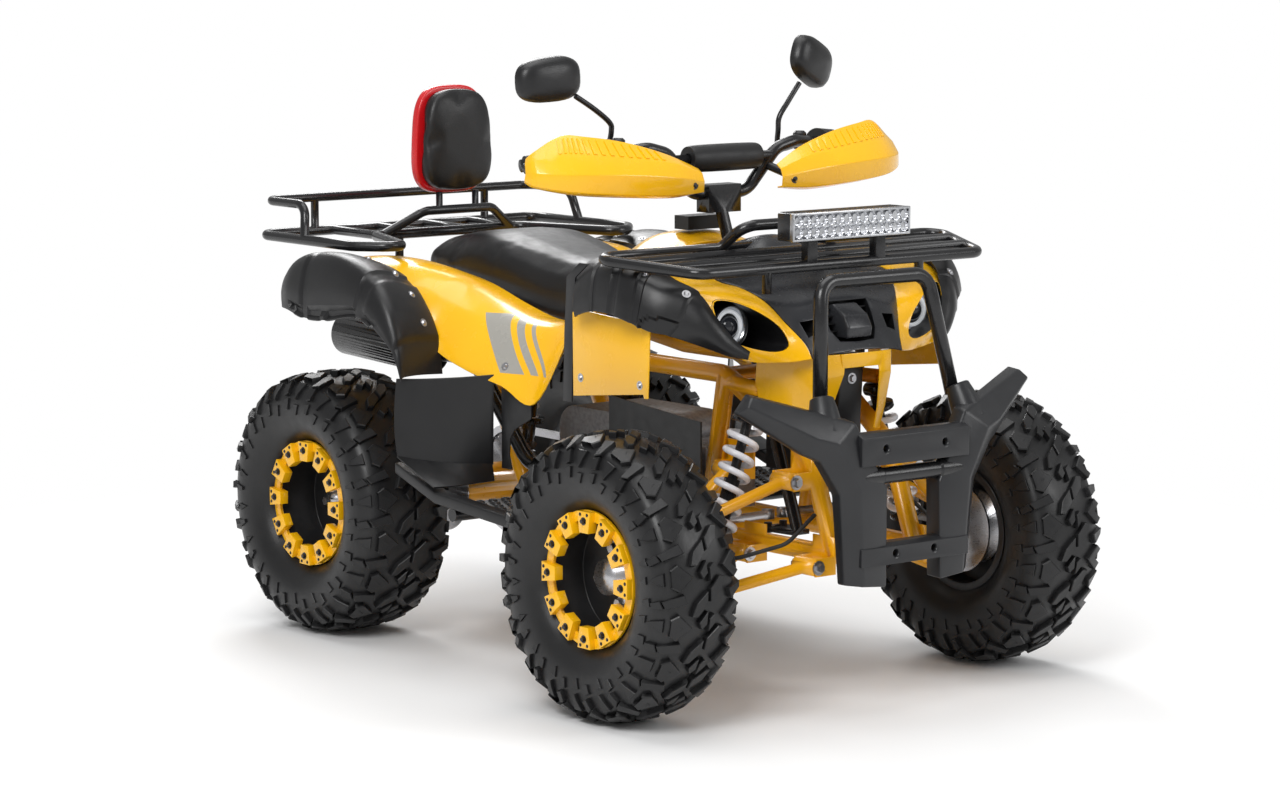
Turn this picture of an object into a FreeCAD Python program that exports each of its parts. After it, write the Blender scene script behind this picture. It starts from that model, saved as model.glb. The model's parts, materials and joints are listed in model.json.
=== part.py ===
import FreeCAD, Part
import math
import os

# A quad bike for farm and leisure use, in millimetres: +X forward, +Y to the rider's left, +Z up.
# The origin is on the ground, under the middle of the whole machine.

V = FreeCAD.Vector
ACROSS = V(0, 1, 0)
AHEAD = V(1, 0, 0)
UP = V(0, 0, 1)

# Wheels and where they stand
WHEELBASE = 950.0
FRONT_AXLE_X = 465.0
REAR_AXLE_X = FRONT_AXLE_X - WHEELBASE
FRONT_TRACK = 825.0
REAR_TRACK = 630.0
TYRE_RADIUS = 241.5
FRONT_TYRE_WIDTH = 160.0
REAR_TYRE_WIDTH = 200.0
BEAD_RADIUS = 101.6
BEAD_GAP = 0.3
LUG_HEIGHT = 11.0
CROWN_RADIUS = 231.6
LUG_SINK = 5.0
LUG_TAPER_SHARE = 0.9
TYRE_FACETS = 24
RIM_FLANGE_RADIUS = 112.0
RIM_WALL = 3.0
RIM_WEB = 4.0
HUB_BORE_RADIUS = 33.0
RING_RADIUS = 115.0
RING_BAND_WIDTH = 17.0
RING_BAND_DEPTH = 6.0
RING_BLOCK_DEPTH = 17.0
RING_BLOCK_REACH = 36.0
RING_BLOCKS = 12
AXLE_RADIUS = 16.0
RUNNING_GAP = 0.05

# Steering
COLUMN_TOP = V(229.0, 0, 828.0)
COLUMN_FOOT = V(432.0, 0, 300.0)
COLUMN_RADIUS = 11.0
CLAMP_LENGTH = 34.0
CLAMP_HALF = 36.0
KINGPIN_TOP = V(461.0, 306.0, 294.0)
KINGPIN_FOOT = V(467.0, 306.0, 178.0)
KINGPIN_RADIUS = 6.0
BALL_RADIUS = 13.0
JOINT_RADIUS = 15.0
JOINT_HALF = 10.0
STEERING_ARM = 62.0
TIE_ROD_RADIUS = 7.0
TIE_ROD_Z = 262.0
BALL_LIFT = 32.0
ROD_END_RADIUS = 11.0
ROD_END_HALF = 8.0
PIN_GAP = 6.5
PITMAN_SPREAD = 17.0
PITMAN_THICKNESS = 8.0
DISC_RADIUS = 78.0
DISC_THICKNESS = 3.5
DISC_SETBACK = 46.0
HUB_RADIUS = 30.0
HUB_REACH = 34.0

# Handlebar and what it carries
BAR_RADIUS = 11.0
BAR_CLAMP_HALF = 62.0
BAR_RISE_HALF = 122.0
BAR_RISE_Z = 912.0
BAR_CROSS_RADIUS = 8.0
BAR_SHOULDER_HALF = 165.0
BAR_END = V(178.0, 392.0, 900.0)
BAR_FRONT_X = 238.0
GRIP_LENGTH = 118.0
GRIP_RADIUS = 16.0
BAR_BEND = 40.0
ROLL_RADIUS = 24.0
ROLL_HALF = 78.0
SOFT_GAP = 0.3
MIRROR_STEM_RADIUS = 5.0
MIRROR_BASE_HALF = 212.0
MIRROR_CENTRE = V(190.0, 325.0, 1050.0)
MIRROR_WIDTH = 126.0
MIRROR_HEIGHT = 76.0
MIRROR_DEPTH = 30.0

# Frame
FRAME_TUBE = 32.0
FRAME_BEND = 60.0
RAIL_HALF = 112.0
RAIL_Z = 265.0
RAIL_FRONT_X = 640.0
RAIL_REAR_X = -170.0
TOWER_TOP = V(578.0, 90.0, 425.0)
SHOULDER = V(385.0, 112.0, 545.0)
SEAT_RAIL_Z = 590.0
SEAT_RAIL_REAR_X = -600.0
CROSS_TUBE = 25.0
ARM_TUBE = 20.0
ARM_EYE_RADIUS = 15.0
ARM_EYE_HALF = 24.0
EAR_REACH = 6.0
BRACKET_Y = 100.0
UPPER_PIVOTS_X = (571.0, 420.0)
UPPER_PIVOT_Z = 386.0
LOWER_PIVOTS_X = (628.0, 452.0)
LOWER_PIVOT_Z = 250.0
ARM_PIVOT_HALF = 138.0
SHOCK_TOP = V(483.0, 136.0, 508.0)
SHOCK_FOOT = V(483.0, 234.0, 229.4)
SHOCK_EYE_RADIUS = 12.0
SHOCK_EYE_HALF = 14.0
BRACE_FOOT_X = 335.0
BRACE_PLATE_X = 360.0
SEAT_GAP = 0.3
SHOCK_RADIUS = 17.0
SPRING_RADIUS = 28.0
SPRING_WIRE = 8.0
SPRING_TURNS = 6
SPRING_STEPS = 12
SPRING_SIDES = 6
SPRING_START_SHARE = 0.12
SPRING_END_SHARE = 0.78
SWINGARM_PIVOT = V(-150.0, 0, 300.0)
PIVOT_BOLT_RADIUS = 8.0
PIVOT_PLATE_THICKNESS = 6.0
PIVOT_PLATE = ((-200.0, 260.0), (-120.0, 258.0), (-125.0, 330.0), (-200.0, 330.0))
SWINGARM_HALF = 48.0
SWINGARM_TUBE = 36.0
CARRIER_RADIUS = 36.0
CARRIER_HALF = 64.0
SPROCKET_RADIUS = 92.0
SPROCKET_Y = 80.0
SPROCKET_THICKNESS = 6.0
SPROCKET_TEETH = 30
DRIVE_RADIUS = 32.0
CHAIN_WIDTH = 12.0
CHAIN_DEPTH = 13.0
CHAIN_GAP = 1.0
CHAIN_FACETS = 16
DRIVE_SETBACK = 20.0
REAR_DISC_Y = -84.0
REAR_DISC_RADIUS = 82.0
REAR_HUB_INSET = 60.0

# Engine and exhaust
ENGINE_REAR_X = -120.0
ENGINE_FRONT_X = 150.0
ENGINE_HALF = 84.0
ENGINE_LOW_Z = 222.0
ENGINE_TOP_Z = 440.0
CYLINDER_HALF = 55.0
CYLINDER_LENGTH = 120.0
FIN_COUNT = 7
FIN_THICKNESS = 3.0
FIN_REACH = 12.0
PIPE_RADIUS = 14.0
MUFFLER_RADIUS = 42.0
MUFFLER_START = V(-420.0, -152.0, 510.0)
MUFFLER_END = V(-690.0, -152.0, 522.0)
PIPE_Z = 335.0

# Body panels
PANEL = 3.5
SEAM_HALF = 305.0
FLARE_HALF = 405.0
GUARD_HALF = 372.0

# Racks
RACK_TUBE = 19.0
RACK_BAR = 17.0
RACK_BEND = 30.0
FRONT_RACK_FRONT = V(558.0, 312.0, 741.0)
FRONT_RACK_REAR = V(367.0, 392.0, 758.0)
FRONT_ARCH_Z = 800.0
REAR_RACK_REAR_X = -732.5
REAR_RACK_HALF = 310.0
REAR_RACK_TOP_Z = 780.0
REAR_RACK_LOW_Z = 716.0
REAR_RACK_WING = V(-351.0, 254.0, 716.0)
REAR_RACK_FRONT_X = -579.0
ARCH_FOOT_HALF = 169.0
ARCH_TOP = V(-544.0, 78.0, 760.0)
POST_RADIUS = 8.0

# Bumper
BUMPER_X = 721.0
BUMPER_DEPTH = 42.0
HOOP_TUBE = 25.0
HOOP_FOOT = V(668.0, 148.0, 520.0)
HOOP_TOP = V(634.0, 118.0, 722.0)
HOOP_BEND = 34.0
BEAM_HALF = 120.0
UPPER_BEAM_Z = 453.0
UPPER_BEAM_HEIGHT = 54.0
LOWER_BEAM_Z = 277.0
LOWER_BEAM_HEIGHT = 36.0
BEAM_DEPTH = 30.0
BEAM_HOLE_RADIUS = 5.5
UPPER_HOLE_HALF = 66.0
LOWER_HOLE_HALF = 43.0
CENTRE_TUBE_Z = 405.0
CENTRE_TUBE_RADIUS = 14.0

# Seat, backrest, lamps
SEAT_HALF = 132.0
SEAT_REAR_X = -520.0
SEAT_FRONT_X = 95.0
SEAT_TOP_Z = 728.0
SEAT_LOW_Z = 640.0
PAD_WIDTH = 158.0
PAD_HEIGHT = 196.0
PAD_DEPTH = 62.0
PAD_CENTRE = V(-560.0, 0, 892.0)
LIGHT_BAR_HALF = 131.0
LIGHT_BAR_HEIGHT = 47.0
LIGHT_BAR_DEPTH = 42.0
LIGHT_BAR_FACE = V(579.0, 0, 808.0)
HEADLIGHT = V(510.0, 207.0, 643.0)
HEADLIGHT_RADIUS = 33.0
HEADLIGHT_DEPTH = 46.0


def mirrored(shape):
    """The same piece for the other side of the machine."""
    return shape.mirror(V(0, 0, 0), ACROSS)


def both_sides(shape):
    """A pair of like pieces, one on each side."""
    return Part.makeCompound([shape, mirrored(shape)])


def united(shapes):
    """One solid made of pieces that are welded or moulded together."""
    whole = shapes[0]
    for shape in shapes[1:]:
        whole = whole.fuse(shape)
    return whole


def rod(start, end, radius):
    """A plain round bar between two points."""
    return Part.makeCylinder(radius, start.distanceToPoint(end), start, end - start)


def corner_arc(before, corner, after, radius):
    """The tangent points and middle point of the arc that rounds one corner of a tube's path."""
    back = (before - corner).normalize()
    ahead = (after - corner).normalize()
    half_angle = back.getAngle(ahead) / 2
    room = min(before.distanceToPoint(corner), after.distanceToPoint(corner)) * 0.49
    setback = min(radius / math.tan(half_angle), room)
    radius = setback * math.tan(half_angle)
    centre = corner + (back + ahead).normalize() * (radius / math.sin(half_angle))
    middle = centre + (corner - centre).normalize() * radius
    return corner + back * setback, middle, corner + ahead * setback


def tube(points, diameter, bend):
    """A round tube: straight runs joined by tangent arcs, with closed ends."""
    pieces = []
    here = points[0]
    for before, corner, after in zip(points, points[1:], points[2:]):
        start, middle, end = corner_arc(before, corner, after, bend)
        centre = arc_centre(start, middle, end)
        axis = (start - centre).cross(end - centre)
        turn = math.degrees((start - centre).getAngle(end - centre))
        disc = Part.Face(Part.Wire([Part.makeCircle(diameter / 2, start, corner - before)]))
        pieces.append(rod(here, start, diameter / 2))
        pieces.append(disc.revolve(centre, axis, turn))
        here = end
    pieces.append(rod(here, points[-1], diameter / 2))
    return united(pieces) if len(pieces) > 1 else pieces[0]


def arc_centre(start, middle, end):
    """The centre of the arc through three points."""
    return Part.Arc(start, middle, end).toShape().Curve.Center


def side_profile(points, low_y, high_y):
    """An outline seen from the side, given as (x, z), made into a plate across the machine."""
    corners = [V(x, low_y, z) for x, z in points]
    return Part.Face(Part.makePolygon(corners + [corners[0]])).extrude(V(0, high_y - low_y, 0))


def front_profile(points, low_x, high_x):
    """An outline seen from the front, given as (y, z), made into a plate along the machine."""
    corners = [V(low_x, y, z) for y, z in points]
    return Part.Face(Part.makePolygon(corners + [corners[0]])).extrude(V(high_x - low_x, 0, 0))


def between(low, high, share):
    """The value that lies at a share of the way from low to high."""
    return low + (high - low) * share


def smooth_row(points, steps):
    """A smooth curve through a row of points, with a few more points between them."""
    row = []
    for index in range(len(points) - 1):
        before = points[max(index - 1, 0)]
        start = points[index]
        end = points[index + 1]
        after = points[min(index + 2, len(points) - 1)]
        for step in range(steps):
            t = step / steps
            leave = (end - before) * 0.5
            arrive = (after - start) * 0.5
            row.append(
                start * (2 * t ** 3 - 3 * t ** 2 + 1) + leave * (t ** 3 - 2 * t ** 2 + t)
                + end * (3 * t ** 2 - 2 * t ** 3) + arrive * (t ** 3 - t ** 2)
            )
    return row + [points[-1]]


def smooth_grid(rows, along, across):
    """A denser grid of points through rows of stations, smooth both ways."""
    wide = [smooth_row(row, across) for row in rows]
    columns = [smooth_row([row[index] for row in wide], along) for index in range(len(wide[0]))]
    return [[column[index] for column in columns] for index in range(len(columns[0]))]


def grid_normal(grid, i, j):
    """The direction that a grid faces at one of its points."""
    ahead = grid[min(i + 1, len(grid) - 1)][j] - grid[max(i - 1, 0)][j]
    aside = grid[i][min(j + 1, len(grid[0]) - 1)] - grid[i][max(j - 1, 0)]
    return ahead.cross(aside).normalize()


def flat_face(corners):
    """One flat face between corners."""
    return Part.Face(Part.makePolygon(list(corners) + [corners[0]]))


def closed_skin(front, back):
    """A thin solid between two grids of points, in flat triangles."""
    faces = []
    rows, columns = len(front), len(front[0])
    for i in range(rows - 1):
        for j in range(columns - 1):
            for grid in (front, back):
                faces.append(flat_face([grid[i][j], grid[i + 1][j], grid[i + 1][j + 1]]))
                faces.append(flat_face([grid[i][j], grid[i + 1][j + 1], grid[i][j + 1]]))
    border = [(i, 0) for i in range(rows)] + [(rows - 1, j) for j in range(1, columns)]
    border += [(i, columns - 1) for i in reversed(range(rows - 1))]
    border += [(0, j) for j in reversed(range(1, columns - 1))]
    for here, there in zip(border, border[1:] + border[:1]):
        a, b = front[here[0]][here[1]], front[there[0]][there[1]]
        c, d = back[there[0]][there[1]], back[here[0]][here[1]]
        faces.append(flat_face([a, b, c]))
        faces.append(flat_face([a, c, d]))
    return sewn_solid(faces)


def sewn_solid(faces):
    """A solid from faces that close round it."""
    shell = Part.Shell(faces)
    shell.sewShape()
    solid = Part.Solid(shell)
    if solid.Volume < 0:
        solid.reverse()
    return solid


def moulded_panel(rows, thickness, along, across):
    """A moulded panel of even thickness through rows of stations."""
    front = smooth_grid(rows, along, across)
    back = []
    for i, row in enumerate(front):
        back.append([point - grid_normal(front, i, j) * thickness for j, point in enumerate(row)])
    return closed_skin(front, back)


def arch_panel(centre, stations, thickness, along, across):
    """A moulded panel round a wheel arch: each station is an angle and its (y, radius) points."""
    rows = []
    for angle, section in stations:
        turn = math.radians(angle)
        out = V(math.cos(turn), 0, math.sin(turn))
        rows.append([centre + out * radius + ACROSS * y for y, radius in section])
    return moulded_panel(rows, thickness, along, across)


def long_panel(stations, thickness, along, across):
    """A moulded panel along the machine: each station is an x and its (y, z) points."""
    rows = [[V(x, y, z) for y, z in section] for x, section in stations]
    return moulded_panel(rows, thickness, along, across)


# Wheels: each is made on the Y axis at the origin, with its outer face towards +Y

CARCASS_SHARES = ((0.62, 0.0), (0.62, 0.1), (0.95, 0.34), (1.0, 0.60), (0.86, 0.90), (0.42, 1.0))
CENTRE_LUG_SHARES = ((0.12, 0.04), (0.66, 0.04), (0.88, 0.40), (0.34, 0.40))
SHOULDER_LUG_SHARES = ((0.12, 0.46), (0.66, 0.46), (0.88, 0.82), (0.34, 0.82))


def polyhedron(faces):
    """A solid from flat faces, each a list of corners."""
    return sewn_solid([flat_face(corners) for corners in faces])


def on_turn(turn, y, radius):
    """A point round the wheel's axis at a share of a turn."""
    angle = 2 * math.pi * turn
    return V(radius * math.cos(angle), y, radius * math.sin(angle))


def casing_profile(half_width):
    """The section of the tyre's casing as (y, radius), from bead to bead."""
    low = (BEAD_RADIUS + BEAD_GAP) / math.cos(math.pi / TYRE_FACETS)
    high = CROWN_RADIUS
    side = [(width * half_width, between(low, high, share)) for width, share in CARCASS_SHARES]
    return side + [(-y, radius) for y, radius in reversed(side)]


def casing(half_width):
    """The tyre's casing, a ring with flat facets."""
    profile = casing_profile(half_width)
    rings = []
    for index in range(TYRE_FACETS):
        rings.append([on_turn(index / TYRE_FACETS, y, radius) for y, radius in profile])
    faces = []
    for index, ring in enumerate(rings):
        following = rings[(index + 1) % TYRE_FACETS]
        for step in range(len(profile)):
            after = (step + 1) % len(profile)
            faces.append([ring[step], ring[after], following[after], following[step]])
    return polyhedron(faces)


def facet_point(facet, turn_share, width_share, half_width):
    """A point of the casing on one facet, at a share of the facet's turn and of the half width."""
    high = casing_profile(half_width)[len(CARCASS_SHARES) - 1][1]
    shoulder, crown = CARCASS_SHARES[-2], CARCASS_SHARES[-1]
    place = max(abs(width_share), crown[0])
    share = between(crown[1], shoulder[1], (place - crown[0]) / (shoulder[0] - crown[0]))
    radius = between(BEAD_RADIUS, high, share)
    start = on_turn(facet / TYRE_FACETS, width_share * half_width, radius)
    end = on_turn((facet + 1) / TYRE_FACETS, width_share * half_width, radius)
    return start + (end - start) * turn_share


def lug(facet, corners, half_width):
    """One tread block on a facet: four corners as (share of the facet, share of the half width)."""
    foot = [facet_point(facet, turn, width, half_width) for turn, width in corners]
    normal = (foot[1] - foot[0]).cross(foot[3] - foot[0]).normalize()
    middle = (foot[0] + foot[1] + foot[2] + foot[3]) * (1 / len(foot))
    if normal.dot(V(middle.x, 0, middle.z)) < 0:
        normal = normal * -1
    low = [corner - normal * LUG_SINK for corner in foot]
    head = [middle + (corner - middle) * LUG_TAPER_SHARE + normal * LUG_HEIGHT for corner in foot]
    base = [middle + (corner - middle) * (2 - LUG_TAPER_SHARE) for corner in low]
    faces = [base, head]
    for index in range(len(corners)):
        after = (index + 1) % len(corners)
        faces.append([base[index], head[index], head[after], base[after]])
    return polyhedron(faces)


def tyre(width):
    """A knobbly tyre: the casing with blocks in four rows."""
    half_width = width / 2
    lugs = []
    for facet in range(TYRE_FACETS):
        side = 1 if facet % 2 else -1
        for table, lean in ((CENTRE_LUG_SHARES, side), (SHOULDER_LUG_SHARES, side)):
            lugs.append(lug(facet, [(turn, lean * across) for turn, across in table], half_width))
    return casing(half_width).multiFuse(lugs)


def steel_rim(width):
    """A pressed steel wheel: barrel with two flanges and a dished web."""
    half = CARCASS_SHARES[0][0] * width / 2
    web = -half * 0.2
    inner = BEAD_RADIUS - RIM_WALL
    profile = (
        (half + RIM_WALL, RIM_FLANGE_RADIUS),
        (half + RIM_WALL, inner),
        (web + RIM_WEB, inner),
        (web + RIM_WEB, HUB_BORE_RADIUS),
        (web, HUB_BORE_RADIUS),
        (web, inner),
        (-half - RIM_WALL, inner),
        (-half - RIM_WALL, RIM_FLANGE_RADIUS),
        (-half, RIM_FLANGE_RADIUS),
        (-half, BEAD_RADIUS),
        (half, BEAD_RADIUS),
        (half, RIM_FLANGE_RADIUS),
    )
    corners = [V(radius, y, 0) for y, radius in profile]
    face = Part.Face(Part.makePolygon(corners + [corners[0]]))
    return face.revolve(V(0, 0, 0), ACROSS, 360)


def trim_ring(width):
    """The bolted outer ring with raised blocks."""
    start = CARCASS_SHARES[0][0] * width / 2 + RIM_WALL
    band = Part.makeCylinder(RING_RADIUS, RING_BAND_DEPTH, V(0, start, 0), ACROSS)
    bore = Part.makeCylinder(RING_RADIUS - RING_BAND_WIDTH, RING_BAND_DEPTH, V(0, start, 0), ACROSS)
    pieces = [band.cut(bore)]
    block_share = 0.56
    for index in range(RING_BLOCKS):
        half_turn = math.pi / RING_BLOCKS * block_share
        corners = []
        for radius, side in (
            (RING_RADIUS, -1), (RING_RADIUS, 1), (RING_RADIUS - RING_BLOCK_REACH, 1),
            (RING_RADIUS - RING_BLOCK_REACH, -1),
        ):
            corners.append(V(radius * math.cos(half_turn * side), start, radius * math.sin(half_turn * side)))
        face = Part.Face(Part.makePolygon(corners + [corners[0]]))
        block = face.extrude(ACROSS * RING_BLOCK_DEPTH)
        block.rotate(V(0, 0, 0), ACROSS, 360 * index / RING_BLOCKS)
        pieces.append(block)
    return united(pieces)


def front_hub():
    """The front hub with its brake disc on the inner side."""
    web = -CARCASS_SHARES[0][0] * FRONT_TYRE_WIDTH / 2 * 0.2
    start = V(0, web - DISC_SETBACK, 0)
    hub = Part.makeCylinder(HUB_RADIUS, DISC_SETBACK + HUB_REACH, start, ACROSS)
    disc = Part.makeCylinder(DISC_RADIUS, DISC_THICKNESS, start, ACROSS)
    flange = Part.makeCylinder(HUB_BORE_RADIUS * 2, RIM_WEB, V(0, web - RIM_WEB, 0), ACROSS)
    bore = Part.makeCylinder(AXLE_RADIUS, DISC_SETBACK + HUB_REACH * 0.6, start, ACROSS)
    return united([hub, disc, flange]).cut(bore)


def set_wheel(shape, axle_x, track):
    """A left wheel's piece at its place."""
    placed = shape.copy()
    placed.translate(V(axle_x, track / 2, TYRE_RADIUS))
    return placed


def rear_axle():
    """The live rear axle with hubs, sprocket and brake disc."""
    half = REAR_TRACK / 2
    centre = V(REAR_AXLE_X, 0, TYRE_RADIUS)
    web = -CARCASS_SHARES[0][0] * REAR_TYRE_WIDTH / 2 * 0.2
    pieces = [rod(centre - ACROSS * (half + web + HUB_REACH), centre + ACROSS * (half + web + HUB_REACH), AXLE_RADIUS)]
    for side in (-1, 1):
        start = centre + ACROSS * side * (half + web)
        pieces.append(rod(start - ACROSS * side * REAR_HUB_INSET, start + ACROSS * side * HUB_REACH * 0.7, HUB_RADIUS))
        pieces.append(rod(start - ACROSS * side * RIM_WEB, start, HUB_BORE_RADIUS * 2))
    pieces.append(sprocket(centre + ACROSS * SPROCKET_Y, SPROCKET_RADIUS, SPROCKET_TEETH))
    disc = centre + ACROSS * REAR_DISC_Y
    pieces.append(rod(disc, disc + ACROSS * DISC_THICKNESS, REAR_DISC_RADIUS))
    return united(pieces)


def sprocket(centre, radius, teeth):
    """A toothed chain wheel, its outline a ring of pointed teeth."""
    corners = []
    for index in range(teeth * 2):
        turn = math.pi * index / teeth
        reach = radius if index % 2 else radius * 0.93
        corners.append(centre + V(reach * math.cos(turn), 0, reach * math.sin(turn)))
    return Part.Face(Part.makePolygon(corners + [corners[0]])).extrude(ACROSS * SPROCKET_THICKNESS)


def chain_loop(low_y, extra):
    """The outline of the chain's loop, set out by a distance from both sprockets."""
    rear = V(REAR_AXLE_X, low_y, TYRE_RADIUS)
    front = V(SWINGARM_PIVOT.x - DRIVE_SETBACK, low_y, SWINGARM_PIVOT.z)
    first, second = SPROCKET_RADIUS + extra, DRIVE_RADIUS + extra
    lean = math.acos((first - second) / rear.distanceToPoint(front))
    slope = math.atan2(front.z - rear.z, front.x - rear.x)
    corners = []
    for centre, radius, start, sweep in (
        (rear, first, slope + lean, 2 * (math.pi - lean)),
        (front, second, slope - lean, 2 * lean),
    ):
        for step in range(CHAIN_FACETS + 1):
            turn = start + sweep * step / CHAIN_FACETS
            corners.append(centre + V(radius * math.cos(turn), 0, radius * math.sin(turn)))
    return Part.Face(Part.makePolygon(corners + [corners[0]]))


def chain():
    """The drive chain as one loop round both sprockets."""
    low_y = SPROCKET_Y - (CHAIN_WIDTH - SPROCKET_THICKNESS) / 2
    outer = chain_loop(low_y, CHAIN_GAP + CHAIN_DEPTH).extrude(ACROSS * CHAIN_WIDTH)
    return outer.cut(chain_loop(low_y, CHAIN_GAP).extrude(ACROSS * CHAIN_WIDTH))


# Front suspension and steering, left side

def kingpin_point(height_share):
    """A point on the kingpin's axis between its two ball joints."""
    return KINGPIN_FOOT + (KINGPIN_TOP - KINGPIN_FOOT) * height_share


def steering_joint():
    """Where the tie rod meets the knuckle's arm."""
    share = (TIE_ROD_Z - KINGPIN_FOOT.z) / (KINGPIN_TOP.z - KINGPIN_FOOT.z)
    return kingpin_point(share) - AHEAD * STEERING_ARM


def pitman_joint():
    """Where the tie rod meets the plate on the column's foot."""
    share = (TIE_ROD_Z - COLUMN_FOOT.z) / (COLUMN_TOP.z - COLUMN_FOOT.z)
    return COLUMN_FOOT + (COLUMN_TOP - COLUMN_FOOT) * share - AHEAD * STEERING_ARM + ACROSS * PITMAN_SPREAD


def knuckle():
    """The left steering knuckle with its axle stub and steering arm."""
    web = -CARCASS_SHARES[0][0] * FRONT_TYRE_WIDTH / 2 * 0.2
    hub_y = FRONT_TRACK / 2 + web - DISC_SETBACK
    centre = V(FRONT_AXLE_X, 0, TYRE_RADIUS)
    stub = rod(centre + ACROSS * KINGPIN_FOOT.y, centre + ACROSS * (hub_y + DISC_SETBACK), AXLE_RADIUS - RUNNING_GAP)
    body = rod(kingpin_point(0.16), kingpin_point(0.84), BALL_RADIUS)
    pin = rod(kingpin_point(-0.1), kingpin_point(1.1), KINGPIN_RADIUS)
    arm_root = kingpin_point((TIE_ROD_Z - KINGPIN_FOOT.z) / (KINGPIN_TOP.z - KINGPIN_FOOT.z))
    arm = rod(arm_root, steering_joint(), TIE_ROD_RADIUS)
    end = steering_joint()
    boss = rod(end - UP * TIE_ROD_RADIUS, end + UP * (BALL_LIFT - ROD_END_HALF - SEAT_GAP), TIE_ROD_RADIUS * 1.4)
    return united([body, pin, stub, arm, boss])


def tie_rod():
    """The left tie rod with a ball joint at each end."""
    outer = steering_joint() + UP * BALL_LIFT
    inner = pitman_joint() + UP * BALL_LIFT
    pieces = [rod(inner, outer, TIE_ROD_RADIUS)]
    for end in (inner, outer):
        pieces.append(rod(end - UP * ROD_END_HALF, end + UP * ROD_END_HALF, ROD_END_RADIUS))
    return united(pieces)


def steering_stem():
    """The steering column with its foot plate and top clamps."""
    foot = pitman_joint()
    along = (COLUMN_TOP - COLUMN_FOOT).normalize()
    column = rod(COLUMN_FOOT - along * (COLUMN_FOOT.z - foot.z), COLUMN_TOP - along * COLUMN_RADIUS, COLUMN_RADIUS)
    plate_points = [
        V(COLUMN_FOOT.x + COLUMN_RADIUS * 2, -PITMAN_SPREAD, foot.z + COLUMN_RADIUS),
        V(COLUMN_FOOT.x + COLUMN_RADIUS * 2, PITMAN_SPREAD, foot.z + COLUMN_RADIUS),
        V(foot.x - COLUMN_RADIUS, PITMAN_SPREAD + COLUMN_RADIUS, foot.z + COLUMN_RADIUS),
        V(foot.x - COLUMN_RADIUS, -PITMAN_SPREAD - COLUMN_RADIUS, foot.z + COLUMN_RADIUS),
    ]
    plate = Part.Face(Part.makePolygon(plate_points + [plate_points[0]])).extrude(UP * -PITMAN_THICKNESS)
    pieces = [column, plate]
    for side in (-1, 1):
        pin = V(foot.x, side * foot.y, foot.z)
        pieces.append(rod(pin, pin + UP * (BALL_LIFT - ROD_END_HALF - PIN_GAP), TIE_ROD_RADIUS))
    block_low = COLUMN_TOP - V(CLAMP_LENGTH / 2, CLAMP_HALF, COLUMN_RADIUS * 2)
    block = Part.makeBox(CLAMP_LENGTH, CLAMP_HALF * 2, COLUMN_RADIUS * 4.4, block_low)
    bar = COLUMN_TOP + UP * COLUMN_RADIUS
    bar_hole = rod(bar - ACROSS * BAR_CLAMP_HALF, bar + ACROSS * BAR_CLAMP_HALF, BAR_RADIUS)
    return united(pieces + [block]).cut(bar_hole)


def handlebar():
    """The high-rise handlebar."""
    base = COLUMN_TOP + UP * COLUMN_RADIUS
    half = [
        base + ACROSS * BAR_CLAMP_HALF,
        V(BAR_FRONT_X, BAR_RISE_HALF, BAR_RISE_Z),
        V(BAR_FRONT_X, BAR_SHOULDER_HALF, BAR_RISE_Z + BAR_RADIUS),
        BAR_END,
    ]
    points = [V(p.x, -p.y, p.z) for p in reversed(half)] + half
    cross = V(BAR_FRONT_X, BAR_RISE_HALF - BAR_RADIUS, BAR_RISE_Z - BAR_RADIUS)
    return united([tube(points, BAR_RADIUS * 2, BAR_BEND), rod(V(cross.x, -cross.y, cross.z), cross, BAR_CROSS_RADIUS)])


def grip_start():
    """The inner end of the left grip on the handlebar."""
    inner = V(BAR_FRONT_X, BAR_SHOULDER_HALF, BAR_RISE_Z + BAR_RADIUS)
    return BAR_END + (inner - BAR_END).normalize() * GRIP_LENGTH


def bar_controls():
    """Grips with the switch cluster, the throttle and the levers."""
    along = (BAR_END - grip_start()).normalize()
    bore = rod(grip_start() - along * GRIP_LENGTH, BAR_END + along, BAR_RADIUS)
    grip = rod(grip_start(), BAR_END - along * GRIP_RADIUS / 2, GRIP_RADIUS)
    housing = rod(grip_start() - along * GRIP_RADIUS * 3, grip_start() - along * GRIP_RADIUS / 4, GRIP_RADIUS * 1.6)
    pivot = grip_start() - along * GRIP_RADIUS * 2 + AHEAD * GRIP_RADIUS * 2
    lever = tube([pivot, pivot + along * GRIP_LENGTH * 0.5 + AHEAD * GRIP_RADIUS, BAR_END + AHEAD * GRIP_RADIUS * 2.6], MIRROR_STEM_RADIUS * 2, BAR_BEND)
    return both_sides(Part.makeCompound([grip.cut(bore), united([housing, lever]).cut(bore)]))


def bar_roll():
    """The soft round pad across the handlebar."""
    centre = V(BAR_FRONT_X, 0, BAR_RISE_Z - BAR_RADIUS)
    start, end = centre - ACROSS * ROLL_HALF, centre + ACROSS * ROLL_HALF
    return rod(start, end, ROLL_RADIUS).cut(rod(start, end, BAR_CROSS_RADIUS + SOFT_GAP))


def hand_guards():
    """Two hand guards, each a swept shell in front of a grip."""
    rows = []
    for y, x, low, high in GUARD_STATIONS:
        rows.append([V(x - GUARD_BOW, y, low), V(x, y, between(low, high, 0.45)), V(x - GUARD_BOW, y, high)])
    return both_sides(moulded_panel(rows, PANEL, 3, 2))


GUARD_BOW = 12.0
GUARD_STATIONS = (
    (92.0, 292.0, 838.0, 862.0),
    (180.0, 306.0, 838.0, 900.0),
    (280.0, 296.0, 846.0, 950.0),
    (360.0, 268.0, 858.0, 948.0),
    (446.0, 214.0, 866.0, 906.0),
)


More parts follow.
